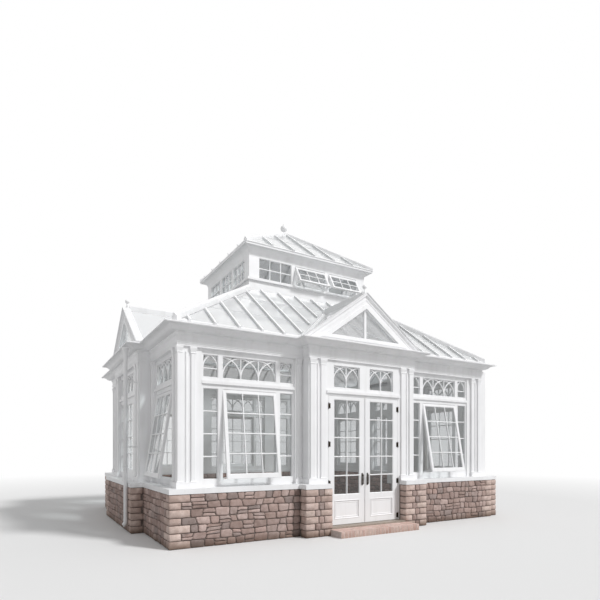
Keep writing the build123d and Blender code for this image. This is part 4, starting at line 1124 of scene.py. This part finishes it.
def add_stone_base():
    """Stones on every outer face of the base, with dressed quoins at its outer corners."""
    draw = random.Random(41)
    quoins = Shape()
    shapes = {side: Shape() for side in WALLS}
    sides = [side for side, *places in BASE_CORNERS for _ in places]
    corners = [Vector((*place, 0)) for _, *places in BASE_CORNERS for place in places]
    last = len(corners) - 1
    ways = [(end - start).normalized() for start, end in zip(corners, corners[1:])]
    runs = [(end - start).length for start, end in zip(corners, corners[1:])]
    starts = [[0] * len(COURSES) for _ in corners]
    ends = [[0] * len(COURSES) for _ in corners]
    for index, corner in enumerate(corners):
        before = ways[index - 1] if index else Vector((0, -1, 0))
        after = ways[index] if index < last else Vector((0, 1, 0))
        if before.cross(after).z < 0:
            continue
        prouds = [QUOIN_PROUD if outer else REVEAL_PROUD for outer in (index, index < last)]
        reaches = []
        for course in COURSES:
            first = second = REVEAL_REACH
            if index:
                first = ends[index - 1][course] = quoin_length(course, False, runs[index - 1])
            if index < last:
                second = starts[index][course] = quoin_length(course, True, runs[index])
            reaches.append((first, second))
        add_quoins(quoins, corner, before, after, reaches, prouds, draw)
    for index in range(last):
        matrix = plane_matrix(corners[index], ways[index], UP)
        stone_run(shapes[sides[index]], matrix, runs[index], starts[index], ends[index], draw)
    for side, shape in shapes.items():
        shape.make(side + "_stones", RUBBLE, smooth_angle=50)
    quoins.make("corner_stones", QUOIN, smooth_angle=50)


def add_inner_stones():
    """Stones on the inner faces of the base, above the floor."""
    draw = random.Random(53)
    stones = Shape()
    corners = [Vector((x, y, 0)) for x, y in INNER_CORNERS]
    none = [0] * len(COURSES)
    for start, end in zip(corners, corners[1:]):
        matrix = plane_matrix(start, (end - start).normalized(), UP)
        stone_run(stones, matrix, (end - start).length, none, none, draw, 1)
    stones.make("inner_stones", RUBBLE, smooth_angle=50)


# Step and floor
def add_step():
    """Bricks on edge along the front of the step, and paving bricks behind them."""
    bricks = Shape()
    draw = random.Random(7)
    front_y = -HALF_SIDE - BAY_PROJECTION - STONE_PROUD - STEP_DEPTH
    for count, setback, depth in ((24, 0.104, 0.218), (8, 0.27, 0.094)):
        pitch = 2 * STEP_HALF_WIDTH / count
        for index in range(count):
            height = STEP_HEIGHT + 0.004 + draw.uniform(-0.0015, 0.0015)
            place = (-STEP_HALF_WIDTH + pitch * (index + 0.5), front_y + setback, height / 2)
            block(bricks, Matrix.Translation(place), (pitch - 0.01, depth, height), 0.004)
    bricks.make("step_bricks", BRICK)


def add_floor():
    """Square tiles over the floor inside."""
    tiles = Shape()
    draw = random.Random(11)
    count_x, count_y = 16, 14
    half_x, half_y = HALF_FRONT - 0.25, HALF_SIDE - 0.25
    pitch_x, pitch_y = 2 * half_x / count_x, 2 * half_y / count_y
    for row, column in product(range(count_y), range(count_x)):
        level = FLOOR_LEVEL + 0.001 + draw.uniform(0, 0.0008)
        place = (-half_x + pitch_x * (column + 0.5), -half_y + pitch_y * (row + 0.5), level)
        block(tiles, Matrix.Translation(place), (pitch_x - 0.006, pitch_y - 0.006, 0.006), 0.0015)
    tiles.make("floor_tiles", TILE)


add_windows()
add_door_glazing()
add_lantern_glazing()
add_roof_trim()
add_gable_trim()
add_entablature()
add_pilaster_rings()
add_door_hardware()
add_door_mouldings()
add_stays()
add_pipe_fittings()
add_stone_base()
add_inner_stones()
add_step()
add_floor()


# Floor, lights and camera
def seen_ray(tree):
    """1 on rays that show a surface to the eye, straight or by way of gloss or glass, and else 0."""
    return any_ray(tree, "Is Camera Ray", "Is Glossy Ray", "Is Transmission Ray")


def studio_floor():
    """Pale floor that fades into the white background and throws less light back than it shows."""
    material, tree, shader = new_material("studio_floor", 0.9)
    colour = blend_colours(tree, seen_ray(tree), srgb(0.66, 0.66, 0.66), srgb(0.90, 0.90, 0.90))
    tree.links.new(colour, shader.inputs["Base Color"])
    shader.inputs["Specular IOR Level"].default_value = 0.1
    place = add_node(tree, "TexCoord", output="Object")
    distance = add_node(tree, "VectorMath", {0: place}, "Value", operation="LENGTH")
    glow = add_node(tree, "Emission", {"Color": (1, 1, 1, 1)})
    mix_surface(tree, map_range(tree, distance, 9, 22), shader.outputs["BSDF"], glow)
    mesh = bpy.data.meshes.new("studio_floor")
    half = 120
    corners = [(-half, -half, 0), (half, -half, 0), (half, half, 0), (-half, half, 0)]
    mesh.from_pydata(corners, [], [(0, 1, 2, 3)])
    mesh.materials.append(material)
    floor = new_object("studio_floor", mesh)


def white_world(ambient):
    """World that is white to the eye, in reflections and through glass, and softer as a lamp."""
    world = bpy.data.worlds.new("studio")
    bpy.context.scene.world = world
    world.use_nodes = True
    tree = world.node_tree
    background = tree.nodes["Background"]
    background.inputs["Color"].default_value = (1, 1, 1, 1)
    strength = map_range(tree, seen_ray(tree), 0, 1, ambient, 1)
    tree.links.new(strength, background.inputs["Strength"])


def add_sun(name, strength, spread, azimuth, elevation):
    """Broad soft sun from a compass direction, azimuth 0 from the camera's side."""
    data = bpy.data.lights.new(name, "SUN")
    data.energy = strength
    data.angle = math.radians(spread)
    turn, rise = math.radians(azimuth), math.radians(elevation)
    level = math.cos(rise)
    towards = Vector((math.sin(turn) * level, -math.cos(turn) * level, math.sin(rise)))
    sun = new_object(name, data)
    sun.rotation_mode = "QUATERNION"
    sun.rotation_quaternion = towards.to_track_quat("Z", "Y")


def add_camera():
    """Level camera where the photograph was taken from."""
    data = bpy.data.cameras.new("camera")
    data.lens = 28.3
    data.sensor_width = 36
    data.shift_y = 0.2505
    camera = new_object("camera", data)
    camera.location = (-5.554, -10.223, 1.5)
    camera.rotation_euler = (math.radians(90), 0, math.radians(-30.48))
    bpy.context.scene.camera = camera


studio_floor()
white_world(0.52)
add_sun("key", 2.3, 10, 34, 42)
add_camera()
bpy.context.scene.view_settings.view_transform = "Standard"
